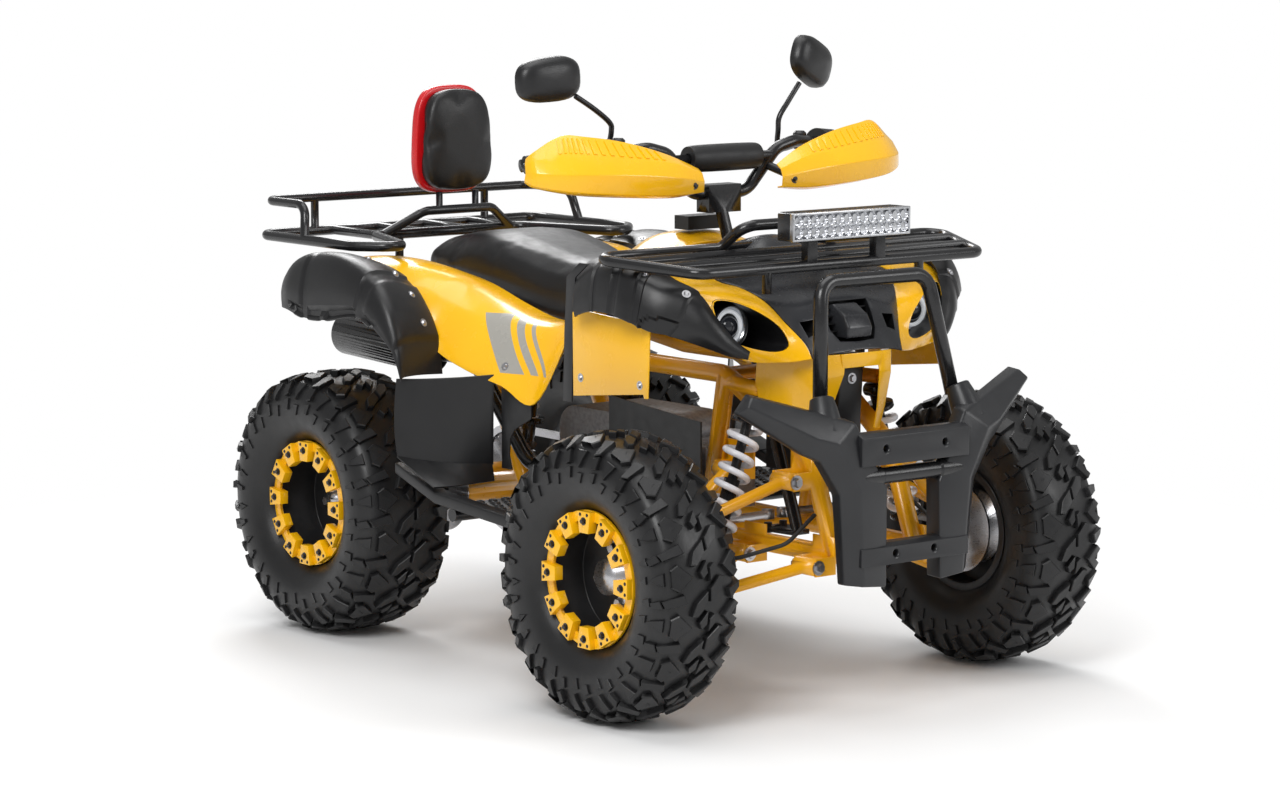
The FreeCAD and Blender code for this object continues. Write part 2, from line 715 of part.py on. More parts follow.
def mirrors():
    """Two mirrors on bent stems."""
    base = V(grip_start().x, MIRROR_BASE_HALF, BAR_RISE_Z + BAR_RADIUS)
    stem = tube([base, base + UP * MIRROR_HEIGHT * 0.6, MIRROR_CENTRE - UP * MIRROR_HEIGHT * 0.2], MIRROR_STEM_RADIUS * 2, BAR_BEND)
    corner = MIRROR_CENTRE - V(MIRROR_DEPTH / 2, MIRROR_WIDTH / 2, MIRROR_HEIGHT / 2)
    shell = Part.makeBox(MIRROR_DEPTH, MIRROR_WIDTH, MIRROR_HEIGHT, corner)
    shell = shell.makeFillet(MIRROR_DEPTH * 0.4, shell.Edges)
    return both_sides(united([stem, shell]))


# Frame and running gear

def frame():
    """The welded tube frame."""
    return united(frame_pieces())


def frame_pieces():
    """The tubes and brackets of the frame, before they are welded."""
    tower_foot = V(RAIL_FRONT_X, TOWER_TOP.y, RAIL_Z)
    rail = [tower_foot, V(RAIL_REAR_X, RAIL_HALF, RAIL_Z), V(RAIL_REAR_X * 2, RAIL_HALF, SEAT_RAIL_Z)]
    top = [tower_foot, TOWER_TOP, SHOULDER, V(0, SHOULDER.y, SHOULDER.z), V(RAIL_REAR_X * 2, RAIL_HALF, SEAT_RAIL_Z), V(SEAT_RAIL_REAR_X, RAIL_HALF, SEAT_RAIL_Z)]
    side = [tube(rail, FRAME_TUBE, FRAME_BEND), tube(top, FRAME_TUBE, FRAME_BEND)]
    side.append(rod(SHOULDER, V(BRACE_FOOT_X, RAIL_HALF, RAIL_Z), FRAME_TUBE / 2))
    shock_seat = SHOCK_TOP + UP * (SHOCK_EYE_RADIUS + SEAT_GAP + CROSS_TUBE / 2)
    side.append(rod(V(SHOULDER.x, SHOULDER.y, shock_seat.z), shock_seat + AHEAD * SHOCK_EYE_HALF, CROSS_TUBE / 2))
    crossings = [
        (tower_foot, CROSS_TUBE), (V(BRACE_FOOT_X, RAIL_HALF, RAIL_Z), CROSS_TUBE), (SHOULDER, CROSS_TUBE),
        (V(SEAT_RAIL_REAR_X, RAIL_HALF, SEAT_RAIL_Z), CROSS_TUBE),
        (V(RAIL_REAR_X * 2 - CROSS_TUBE, RAIL_HALF, SEAT_RAIL_Z), CROSS_TUBE), (TOWER_TOP, CROSS_TUBE),
    ]
    side.append(side_profile(PIVOT_PLATE, RAIL_HALF - FRAME_TUBE / 2, RAIL_HALF - FRAME_TUBE / 2 + PIVOT_PLATE_THICKNESS))
    pieces = side + [mirrored(piece) for piece in side]
    pieces.append(rod(V(SWINGARM_PIVOT.x, -RAIL_HALF, SWINGARM_PIVOT.z), V(SWINGARM_PIVOT.x, RAIL_HALF, SWINGARM_PIVOT.z), PIVOT_BOLT_RADIUS))
    for place, size in crossings:
        pieces.append(rod(V(place.x, -place.y, place.z), place, size / 2))
    for pivots_x, z in ((UPPER_PIVOTS_X, UPPER_PIVOT_Z), (LOWER_PIVOTS_X, LOWER_PIVOT_Z)):
        for x in pivots_x:
            back_x = min(x - ARM_EYE_HALF - PANEL, BRACE_PLATE_X if x == UPPER_PIVOTS_X[1] else x)
            bracket = arm_bracket(x, z, back_x)
            pieces += [bracket, mirrored(bracket)]
    return pieces


def arm_bracket(x, z, back_x):
    """A plate on the frame with the two ears that hold one eye of a suspension arm."""
    reach = ARM_PIVOT_HALF + EAR_REACH - BRACKET_Y
    height = ARM_EYE_RADIUS * 2
    start = x - ARM_EYE_HALF - PANEL
    ears = []
    for ear_x in (start, x + ARM_EYE_HALF):
        ears.append(Part.makeBox(PANEL, reach, height, V(ear_x, BRACKET_Y, z - ARM_EYE_RADIUS)))
    length = x + ARM_EYE_HALF + PANEL - back_x
    plate = Part.makeBox(length, PANEL, height + FRAME_TUBE, V(back_x, BRACKET_Y, z - ARM_EYE_RADIUS))
    return united(ears + [plate])


def suspension_arm(pivots_x, pivot_z, ball):
    """One left A-arm: two legs from the frame to the ball joint."""
    axis = (KINGPIN_TOP - KINGPIN_FOOT).normalize()
    pieces = [rod(ball - axis * JOINT_HALF, ball + axis * JOINT_HALF, JOINT_RADIUS)]
    pieces += [rod(V(x, ARM_PIVOT_HALF, pivot_z), ball, ARM_TUBE / 2) for x in pivots_x]
    for x in pivots_x:
        pieces.append(rod(V(x - ARM_EYE_HALF, ARM_PIVOT_HALF, pivot_z), V(x + ARM_EYE_HALF, ARM_PIVOT_HALF, pivot_z), ARM_EYE_RADIUS))
    if ball.z < TYRE_RADIUS:
        share = (SHOCK_FOOT.y - ARM_PIVOT_HALF) / (ball.y - ARM_PIVOT_HALF)
        ends = [V(x, ARM_PIVOT_HALF, pivot_z) + (ball - V(x, ARM_PIVOT_HALF, pivot_z)) * share for x in pivots_x]
        pieces.append(rod(ends[0], ends[1], ARM_TUBE * 0.4))
    bore = rod(kingpin_point(-0.2), kingpin_point(1.2), KINGPIN_RADIUS + RUNNING_GAP)
    return united(pieces).cut(bore)


def front_arms():
    """Upper and lower A-arms on both sides."""
    upper = suspension_arm(UPPER_PIVOTS_X, UPPER_PIVOT_Z, KINGPIN_TOP)
    lower = suspension_arm(LOWER_PIVOTS_X, LOWER_PIVOT_Z, KINGPIN_FOOT)
    return Part.makeCompound([upper, lower, mirrored(upper), mirrored(lower)])


def shock_lines():
    """Top and foot of each shock absorber: two at the front and one at the rear."""
    rear_top = V(SWINGARM_PIVOT.x - SWINGARM_TUBE * 4, 0, SEAT_RAIL_Z - CROSS_TUBE)
    rear_foot = V(SWINGARM_PIVOT.x - SWINGARM_TUBE * 5, 0, SWINGARM_PIVOT.z + SWINGARM_TUBE)
    right = [V(p.x, -p.y, p.z) for p in (SHOCK_TOP, SHOCK_FOOT)]
    return [(SHOCK_TOP, SHOCK_FOOT), tuple(right), (rear_top, rear_foot)]


def shock_body(top, foot):
    """A damper: its cylinder, rod and seats for the spring."""
    along = (foot - top).normalize()
    length = top.distanceToPoint(foot)
    upper = rod(top, top + along * length * 0.5, SHOCK_RADIUS * 0.5)
    lower = rod(top + along * length * 0.45, foot - along * SHOCK_EYE_RADIUS / 2, SHOCK_RADIUS * 0.8)
    seat_top = top + along * length * SPRING_START_SHARE
    seat_foot = top + along * (length * SPRING_END_SHARE + SPRING_WIRE)
    pieces = [upper, lower]
    for eye in (top, foot):
        pieces.append(rod(eye - AHEAD * SHOCK_EYE_HALF, eye + AHEAD * SHOCK_EYE_HALF, SHOCK_EYE_RADIUS))
    for seat in (seat_top, seat_foot):
        pieces.append(rod(seat - along * SPRING_WIRE, seat, SPRING_RADIUS))
    return united(pieces)


def swept_polygon(rings):
    """A solid through a row of like rings of points, closed at both ends."""
    faces = [flat_face(rings[0]), flat_face(rings[-1])]
    for ring, following in zip(rings, rings[1:]):
        for index in range(len(ring)):
            after = (index + 1) % len(ring)
            faces.append(flat_face([ring[index], following[index], following[after]]))
            faces.append(flat_face([ring[index], following[after], ring[after]]))
    return sewn_solid(faces)


def spring(top, foot):
    """A coil spring round a damper, its wire a six-sided bar."""
    along = (foot - top).normalize()
    aside = along.cross(AHEAD).normalize()
    other = along.cross(aside)
    length = top.distanceToPoint(foot)
    start = top + along * (length * SPRING_START_SHARE + SPRING_WIRE)
    reach = length * (SPRING_END_SHARE - SPRING_START_SHARE) - SPRING_WIRE * 3
    mean_radius = SPRING_RADIUS - SPRING_WIRE / 2
    rings = []
    for step in range(SPRING_TURNS * SPRING_STEPS + 1):
        turn = 2 * math.pi * step / SPRING_STEPS
        out = aside * math.cos(turn) + other * math.sin(turn)
        centre = start + along * (reach * step / (SPRING_TURNS * SPRING_STEPS)) + out * mean_radius
        ring = []
        for corner in range(SPRING_SIDES):
            angle = 2 * math.pi * corner / SPRING_SIDES
            ring.append(centre + (out * math.cos(angle) + along * math.sin(angle)) * (SPRING_WIRE / 2))
        rings.append(ring)
    return swept_polygon(rings)


def swingarm():
    """The rear swingarm with the axle's bearing carrier."""
    axle = V(REAR_AXLE_X, 0, TYRE_RADIUS)
    pieces = [rod(SWINGARM_PIVOT - ACROSS * (SWINGARM_HALF + SWINGARM_TUBE / 2), SWINGARM_PIVOT + ACROSS * (SWINGARM_HALF + SWINGARM_TUBE / 2), SWINGARM_TUBE / 2)]
    for side in (-1, 1):
        pieces.append(rod(SWINGARM_PIVOT + ACROSS * side * SWINGARM_HALF, axle + ACROSS * side * SWINGARM_HALF, SWINGARM_TUBE / 2))
    pieces.append(rod(axle - ACROSS * CARRIER_HALF, axle + ACROSS * CARRIER_HALF, CARRIER_RADIUS))
    reach = CARRIER_HALF + SWINGARM_TUBE
    bore = rod(axle - ACROSS * reach, axle + ACROSS * reach, AXLE_RADIUS + RUNNING_GAP)
    pivot = rod(V(SWINGARM_PIVOT.x, -reach, SWINGARM_PIVOT.z), V(SWINGARM_PIVOT.x, reach, SWINGARM_PIVOT.z), PIVOT_BOLT_RADIUS + RUNNING_GAP)
    return united(pieces).cut(bore).cut(pivot)


def engine():
    """The engine: crankcase and a forward-leaning finned cylinder."""
    height = ENGINE_TOP_Z - ENGINE_LOW_Z
    length = ENGINE_FRONT_X - ENGINE_REAR_X
    case = Part.makeBox(length, ENGINE_HALF * 2, height, V(ENGINE_REAR_X, -ENGINE_HALF, ENGINE_LOW_Z))
    case = case.makeFillet(height * 0.2, [edge for edge in case.Edges if abs(edge.tangentAt(0).y) > 0.9])
    axis_z = between(ENGINE_LOW_Z, ENGINE_TOP_Z, 0.55)
    pieces = [case, Part.makeBox(CYLINDER_LENGTH, CYLINDER_HALF * 1.6, CYLINDER_HALF * 1.6, V(ENGINE_FRONT_X, -CYLINDER_HALF * 0.8, axis_z - CYLINDER_HALF * 0.8))]
    for index in range(FIN_COUNT):
        x = ENGINE_FRONT_X + CYLINDER_LENGTH * (index + 0.5) / FIN_COUNT
        reach = CYLINDER_HALF * 0.8 + FIN_REACH
        pieces.append(Part.makeBox(FIN_THICKNESS, reach * 2, reach * 2, V(x, -reach, axis_z - reach)))
    return united(pieces)


def exhaust():
    """The exhaust pipe and silencer."""
    start = V(ENGINE_FRONT_X + CYLINDER_LENGTH / 2, -(CYLINDER_HALF * 0.8 + FIN_REACH + SEAT_GAP), PIPE_Z)
    path = [
        start, V(start.x, MUFFLER_START.y, PIPE_Z), V(ENGINE_REAR_X, MUFFLER_START.y, PIPE_Z),
        V(ENGINE_REAR_X * 2.4, MUFFLER_START.y, MUFFLER_START.z), MUFFLER_START,
    ]
    pipe = tube(path, PIPE_RADIUS * 2, FRAME_BEND)
    return united([pipe, rod(MUFFLER_START, MUFFLER_END, MUFFLER_RADIUS)])


# Body panels, left side with +y

def body_front():
    """The front fender with its headlight mask."""
    fender = long_panel(FRONT_FENDER, PANEL, 2, 2)
    lamp = rod(HEADLIGHT - AHEAD * HEADLIGHT_DEPTH * 2, HEADLIGHT + AHEAD * HEADLIGHT_DEPTH * 3, HEADLIGHT_RADIUS * 1.2)
    flap = side_profile(FLAP_OUTLINE, FLAP_HALF - PANEL, FLAP_HALF)
    return Part.makeCompound([both_sides(fender.cut(lamp)), both_sides(flap)])


FRONT_FENDER = (
    (300.0, ((110.0, 745.0), (210.0, 745.0), (290.0, 730.0), (318.0, 700.0))),
    (400.0, ((150.0, 735.0), (230.0, 725.0), (285.0, 710.0), (306.0, 665.0))),
    (500.0, ((165.0, 715.0), (230.0, 705.0), (272.0, 670.0), (285.0, 610.0))),
    (580.0, ((160.0, 690.0), (200.0, 680.0), (232.0, 640.0), (236.0, 590.0))),
    (630.0, ((140.0, 655.0), (155.0, 645.0), (166.0, 615.0), (160.0, 585.0))),
)
FLAP_HALF = 330.0
FLAP_OUTLINE = ((222.0, 498.0), (420.0, 531.0), (420.0, 640.0), (340.0, 668.0), (250.0, 672.0), (227.0, 650.0))


def flares_front():
    """The black flares over the front wheels."""
    centre = V(FRONT_AXLE_X, 0, TYRE_RADIUS)
    return both_sides(arch_panel(centre, FRONT_FLARE, PANEL, 2, 2))


FRONT_FLARE = (
    (122.0, ((285.0, 535.0), (325.0, 530.0), (345.0, 480.0))),
    (108.0, ((285.0, 528.0), (330.0, 520.0), (350.0, 452.0))),
    (95.0, ((290.0, 490.0), (330.0, 478.0), (345.0, 400.0))),
    (84.0, ((290.0, 448.0), (318.0, 430.0), (325.0, 372.0))),
    (74.0, ((270.0, 405.0), (285.0, 385.0), (288.0, 358.0))),
)


def body_rear():
    """The rear fender and side panels."""
    return both_sides(long_panel(REAR_FENDER, PANEL, 2, 3))


REAR_FENDER = (
    (-630.0, ((138.0, 650.0), (220.0, 655.0), (300.0, 640.0))),
    (-500.0, ((139.0, 662.0), (220.0, 680.0), (305.0, 675.0))),
    (-380.0, ((139.0, 667.0), (222.0, 685.0), (305.0, 667.0))),
    (-300.0, ((140.0, 662.0), (230.0, 672.0), (302.0, 636.0))),
    (-230.0, ((142.0, 652.0), (236.0, 640.0), (300.0, 560.0))),
    (-170.0, ((142.0, 645.0), (238.0, 610.0), (296.0, 510.0))),
    (-50.0, ((142.0, 625.0), (222.0, 595.0), (280.0, 500.0))),
    (50.0, ((142.0, 620.0), (212.0, 580.0), (262.0, 472.0))),
    (130.0, ((142.0, 660.0), (208.0, 640.0), (258.0, 590.0))),
)


def flares_rear():
    """The black flares over the rear wheels."""
    centre = V(REAR_AXLE_X, 0, TYRE_RADIUS)
    return both_sides(arch_panel(centre, REAR_FLARE, PANEL, 2, 3))


REAR_FLARE = (
    (104.0, ((306.0, 395.0), (375.0, 392.0), (398.0, 352.0))),
    (94.0, ((308.0, 432.0), (382.0, 432.0), (404.0, 362.0))),
    (80.0, ((309.0, 445.0), (388.0, 462.0), (408.0, 378.0))),
    (68.0, ((309.0, 447.0), (388.0, 462.0), (410.0, 405.0))),
    (56.0, ((308.0, 442.0), (388.0, 450.0), (406.0, 420.0))),
    (46.0, ((306.0, 420.0), (380.0, 424.0), (402.0, 410.0))),
)


def full_width(stations):
    """Stations over the whole width, from those of the left half that start at the middle."""
    full = []
    for x, section in stations:
        full.append((x, tuple((-y, z) for y, z in reversed(section[1:])) + section))
    return full


def tank_cover():
    """The yellow cover between the seat and the handlebar."""
    return long_panel(full_width(TANK_COVER), PANEL, 2, 3)


TANK_COVER = (
    (60.0, ((0, 742.0), (60.0, 735.0), (120.0, 690.0))),
    (130.0, ((0, 768.0), (70.0, 760.0), (130.0, 700.0))),
    (200.0, ((0, 765.0), (75.0, 755.0), (135.0, 705.0))),
    (234.0, ((0, 752.0), (80.0, 744.0), (130.0, 715.0))),
)


def nose():
    """The grey hood and nose between the headlights."""
    return long_panel(full_width(NOSE), PANEL, 2, 3)


NOSE = (
    (288.0, ((0, 770.0), (60.0, 764.0), (100.0, 740.0))),
    (335.0, ((0, 762.0), (70.0, 752.0), (120.0, 725.0))),
    (372.0, ((0, 726.0), (80.0, 722.0), (140.0, 710.0))),
    (450.0, ((0, 720.0), (90.0, 714.0), (155.0, 700.0))),
    (520.0, ((0, 706.0), (100.0, 700.0), (162.0, 684.0))),
    (600.0, ((0, 682.0), (90.0, 678.0), (150.0, 655.0))),
    (630.0, ((0, 640.0), (70.0, 640.0), (130.0, 612.0))),
)


def footwells():
    """The black mudguards behind the feet."""
    guard = side_profile(GUARD_OUTLINE, GUARD_HALF - PANEL, GUARD_HALF)
    inner = side_profile(INNER_GUARD, INNER_GUARD_HALF - PANEL, INNER_GUARD_HALF)
    wall = Part.makeBox(PANEL, GUARD_HALF - INNER_GUARD_HALF, WALL_HEIGHT, V(WALL_X, INNER_GUARD_HALF, GUARD_OUTLINE[0][1]))
    return both_sides(united([guard, inner, wall]))


GUARD_OUTLINE = ((-100.0, 312.0), (-205.0, 340.0), (-205.0, 480.0), (-190.0, 500.0), (-150.0, 505.0), (-100.0, 500.0))
INNER_GUARD_HALF = 255.0
INNER_GUARD = ((-100.0, 312.0), (-205.0, 340.0), (-205.0, 480.0), (-60.0, 500.0), (0, 470.0), (10.0, 440.0), (-60.0, 380.0), (-60.0, 312.0))
WALL_X = -150.0
WALL_HEIGHT = 180.0


def footrests():
    """The steel footrests: a side bar, a tread plate and two arms to the frame."""
    bar = tube([V(-175.0, 300.0, 300.0), V(-75.0, 374.0, 300.0), V(140.0, 374.0, 284.0), V(140.0, 300.0, 284.0)], FRAME_TUBE / 2, RACK_BEND)
    plate = Part.makeBox(FOOT_PLATE_LENGTH, FOOT_PLATE_WIDTH, PANEL, V(FOOT_PLATE_X, FOOT_PLATE_Y, FOOT_PLATE_Z))
    pieces = [bar, plate]
    inner_y = RAIL_HALF + FRAME_TUBE / 2 + SEAT_GAP
    rod_z = FOOT_PLATE_Z - CROSS_TUBE / 2 + PANEL / 2
    for x in (FOOT_PLATE_X + CROSS_TUBE, FOOT_PLATE_X + FOOT_PLATE_LENGTH - CROSS_TUBE):
        pieces.append(rod(V(x, inner_y, rod_z), V(x, FOOT_PLATE_Y + FOOT_PLATE_WIDTH * 0.9, rod_z), CROSS_TUBE / 2))
    return both_sides(united(pieces))


FOOT_PLATE_X = -60.0
FOOT_PLATE_Y = 190.0
FOOT_PLATE_Z = 288.0
FOOT_PLATE_LENGTH = 190.0
FOOT_PLATE_WIDTH = 184.0


def seat():
    """The seat: a closed cushion with a domed top."""
    wires = []
    for x, half, low, top in SEAT_STATIONS:
        corners = [V(x, -half, low), V(x, half, low), V(x, half, between(low, top, 0.6)), V(x, half * 0.6, top), V(x, -half * 0.6, top), V(x, -half, between(low, top, 0.6))]
        wires.append(Part.makePolygon(corners + [corners[0]]))
    return Part.makeLoft(wires, True, True)


SEAT_STATIONS = (
    (-520.0, 110.0, 650.0, 690.0),
    (-450.0, 132.0, 640.0, 708.0),
    (-300.0, 134.0, 630.0, 726.0),
    (-120.0, 120.0, 620.0, 700.0),
    (60.0, 95.0, 640.0, 712.0),
    (100.0, 80.0, 670.0, 715.0),
)


def backrest():
    """The backrest pad."""
    corner = PAD_CENTRE - V(PAD_DEPTH / 2, PAD_WIDTH / 2, PAD_HEIGHT / 2)
    pad = Part.makeBox(PAD_DEPTH, PAD_WIDTH, PAD_HEIGHT, corner)
    return pad.makeFillet(PAD_DEPTH * 0.3, pad.Edges)


def rack_rear():
    """The rear rack with its raised rail and the arch for the backrest."""
    return united(rack_rear_pieces())


def rack_rear_pieces():
    """The tubes of the rear rack."""
    low = REAR_RACK_LOW_Z
    rear = REAR_RACK_REAR_X
    top_rail = tube([
        V(-585.0, -322.0, low), V(-600.0, -REAR_RACK_HALF, REAR_RACK_TOP_Z), V(rear, -REAR_RACK_HALF, REAR_RACK_TOP_Z),
        V(rear, REAR_RACK_HALF, REAR_RACK_TOP_Z), V(-600.0, REAR_RACK_HALF, REAR_RACK_TOP_Z), V(-585.0, 322.0, low),
    ], RACK_BAR, RACK_BEND)
    half = [V(REAR_RACK_FRONT_X, 0, low), V(REAR_RACK_FRONT_X, ARCH_FOOT_HALF, low), REAR_RACK_WING, V(-430.0, 322.0, low), V(rear, 322.0, low), V(rear, 0, low)]
    pieces = [top_rail, tube(half, RACK_TUBE, RACK_BEND), tube([V(p.x, -p.y, p.z) for p in half], RACK_TUBE, RACK_BEND)]
    for y in (-160.0, -55.0, 55.0, 160.0):
        pieces.append(rod(V(rear, y, low), V(REAR_RACK_FRONT_X, y, low), RACK_BAR / 2))
    foot = V(REAR_RACK_FRONT_X, ARCH_FOOT_HALF - RACK_TUBE, low)
    pieces.append(tube([V(foot.x, -foot.y, foot.z), V(ARCH_TOP.x, -ARCH_TOP.y, ARCH_TOP.z), ARCH_TOP, foot], RACK_BAR, RACK_BEND))
    for side in (-1, 1):
        pieces.append(rod(V(rear, side * 200.0, low), V(rear, side * 200.0, REAR_RACK_TOP_Z), RACK_BAR * 0.45))
        pieces.append(rod(V(ARCH_TOP.x - POST_RADIUS * 0.3, side * 42.0, ARCH_TOP.z - RACK_TUBE / 4), V(ARCH_TOP.x - POST_RADIUS * 0.3, side * 42.0, PAD_CENTRE.z - PAD_HEIGHT / 2), POST_RADIUS * 0.8))
        pieces.append(rod(V(REAR_RACK_FRONT_X, side * RAIL_HALF, SEAT_RAIL_Z + FRAME_TUBE / 2 + SEAT_GAP), V(REAR_RACK_FRONT_X, side * RAIL_HALF, low), POST_RADIUS))
    return pieces


def rack_front():
    """The front rack: a loop wider at its rear, cross bars and a raised arch."""
    front, back = FRONT_RACK_FRONT, FRONT_RACK_REAR
    half = [V(front.x, 0, front.z), front, back, V(back.x, 0, back.z)]
    pieces = [tube(half, RACK_TUBE, RACK_BEND), tube([V(p.x, -p.y, p.z) for p in half], RACK_TUBE, RACK_BEND)]
    for share in (0.35, 0.68):
        middle = front + (back - front) * share
        pieces.append(rod(V(middle.x, -middle.y, middle.z), middle, RACK_TUBE / 2))
    arch_x = between(back.x, front.x, 0.3)
    pieces.append(tube([V(back.x, -110.0, back.z), V(arch_x, -110.0, FRONT_ARCH_Z), V(arch_x, 110.0, FRONT_ARCH_Z), V(back.x, 110.0, back.z)], RACK_TUBE, RACK_BEND))
    for side in (-1, 1):
        pieces.append(rod(V(front.x, side * 170.0, front.z), V(front.x, side * 170.0, 700.0), POST_RADIUS))
        pieces.append(rod(V(back.x, side * SHOULDER.y, back.z), V(back.x, side * SHOULDER.y, back.z - RACK_TUBE), POST_RADIUS))
    return united(pieces)


def light_bar():
    """The lamp bar on the front rack."""
    corner = LIGHT_BAR_FACE - V(LIGHT_BAR_DEPTH, LIGHT_BAR_HALF, LIGHT_BAR_HEIGHT / 2)
    pieces = [Part.makeBox(LIGHT_BAR_DEPTH, LIGHT_BAR_HALF * 2, LIGHT_BAR_HEIGHT, corner)]
    for side in (-1, 1):
        y = side * LIGHT_BAR_HALF * 0.58
        pieces.append(rod(V(LIGHT_BAR_FACE.x - LIGHT_BAR_DEPTH / 2, y, FRONT_RACK_FRONT.z + RACK_TUBE / 2), V(LIGHT_BAR_FACE.x - LIGHT_BAR_DEPTH / 2, y, LIGHT_BAR_FACE.z), POST_RADIUS))
    return united(pieces)


def bumper():
    """The moulded bumper: two bent uprights, two beams and a round bar."""
    upright = front_profile(UPRIGHT_OUTLINE, BUMPER_X - BUMPER_DEPTH / 2, BUMPER_X + BUMPER_DEPTH / 2)
    pieces = [upright, mirrored(upright)]
    face = BUMPER_X + BUMPER_DEPTH / 2
    for z, height, hole_half in ((UPPER_BEAM_Z, UPPER_BEAM_HEIGHT, UPPER_HOLE_HALF), (LOWER_BEAM_Z, LOWER_BEAM_HEIGHT, LOWER_HOLE_HALF)):
        beam = Part.makeBox(BEAM_DEPTH, BEAM_HALF * 2, height, V(face - BEAM_DEPTH, -BEAM_HALF, z - height / 2))
        for side in (-1, 1):
            beam = beam.cut(rod(V(face - BEAM_DEPTH, side * hole_half, z), V(face, side * hole_half, z), BEAM_HOLE_RADIUS))
        pieces.append(beam)
    pieces.append(rod(V(face - BEAM_DEPTH / 2, -BEAM_HALF, CENTRE_TUBE_Z), V(face - BEAM_DEPTH / 2, BEAM_HALF, CENTRE_TUBE_Z), CENTRE_TUBE_RADIUS))
    for side in (-1, 1):
        pieces.append(rod(V(BUMPER_X, side * 60.0, LOWER_BEAM_Z), V(RAIL_FRONT_X + FRAME_TUBE / 2 + 1.0, side * 60.0, RAIL_Z), POST_RADIUS))
    return united(pieces)


UPRIGHT_OUTLINE = ((48.0, 224.0), (126.0, 229.0), (152.0, 380.0), (192.0, 451.0), (322.0, 524.0), (287.0, 556.0), (151.0, 512.0), (112.0, 480.0), (66.0, 388.0))


def bumper_hoop():
    """The steel hoop over the bumper."""
    points = [V(HOOP_FOOT.x, -HOOP_FOOT.y, HOOP_FOOT.z), V(HOOP_TOP.x, -HOOP_TOP.y, HOOP_TOP.z), HOOP_TOP, HOOP_FOOT]
    return tube(points, HOOP_TUBE, HOOP_BEND)


def lamps():
    """Two headlights and two tail lamps."""
    head = rod(HEADLIGHT - AHEAD * HEADLIGHT_DEPTH, HEADLIGHT, HEADLIGHT_RADIUS)
    tail = Part.makeBox(24.0, 60.0, 36.0, V(-664.0, 180.0, 620.0))
    return Part.makeCompound([both_sides(head), both_sides(tail)])


def inner_panels():
    """The black panels round the frame and the gauge housing."""
    side = side_profile(((150.0, 330.0), (400.0, 330.0), (400.0, 470.0), (150.0, 490.0)), 178.0, 178.0 + PANEL)
    dash = Part.makeBox(38.0, 80.0, 24.0, V(156.0, -40.0, 773.0))
    return Part.makeCompound([both_sides(side), dash])


def hoses():
    """The brake hoses to the front wheels."""
    return both_sides(tube([V(614.0, 110.5, 332.0), V(612.0, 170.0, 288.0), V(560.0, 232.0, 264.0), V(490.0, 270.0, 256.0)], 7.0, 40.0))


def write(name, shape):
    """Write one node's STEP file."""
    shape.exportStep(os.path.join("parts", name + ".step"))


def main():
    os.makedirs("parts", exist_ok=True)
    wheels = {
        "front": (FRONT_TYRE_WIDTH, FRONT_AXLE_X, FRONT_TRACK),
        "rear": (REAR_TYRE_WIDTH, REAR_AXLE_X, REAR_TRACK),
    }
    for end, (width, axle_x, track) in wheels.items():
        left_tyre = set_wheel(tyre(width), axle_x, track)
        write("tyre_" + end + "_left", left_tyre)
        write("tyre_" + end + "_right", mirrored(left_tyre))
        rim = set_wheel(steel_rim(width), axle_x, track)
        ring = set_wheel(trim_ring(width), axle_x, track)
        if end == "front":
            for name, piece in (("rim_front", rim), ("ring_front", ring)):
                write(name + "_left", piece)
                write(name + "_right", mirrored(piece))
        else:
            write("rims_rear", both_sides(rim))
            write("rings_rear", both_sides(ring))
    hub = set_wheel(front_hub(), FRONT_AXLE_X, FRONT_TRACK)
    for name, piece in (("brake_disc", hub), ("knuckle", knuckle()), ("tie_rod", tie_rod())):
        write(name + "_left", piece)
        write(name + "_right", mirrored(piece))
    write("rear_axle", rear_axle())
    springs = Part.makeCompound([spring(top, foot) for top, foot in shock_lines()])
    bodies = Part.makeCompound([shock_body(top, foot) for top, foot in shock_lines()])
    write("shock_springs", springs)
    write("shock_bodies", bodies)
    for make in (
        steering_stem, handlebar, bar_controls, bar_roll, hand_guards, mirrors, frame, front_arms,
        swingarm, chain, engine, exhaust, body_front, flares_front, body_rear, flares_rear, tank_cover,
        nose, footwells, footrests, seat, backrest, rack_rear, rack_front, light_bar, bumper,
        bumper_hoop, lamps, inner_panels, hoses,
    ):
        write(make.__name__, make())


main()
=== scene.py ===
# %% [markdown]
# # A utility quad bike, dressed for a picture
# The construction model gives every node at its true place, in metres. This script keeps that frame as it is and
# gives it looks: finishes with grain and gloss, and detailed pieces where a plain solid is not enough.

# %% The frame
import bmesh
import bpy
import json
import math
from mathutils import Matrix, Vector
from mathutils.bvhtree import BVHTree


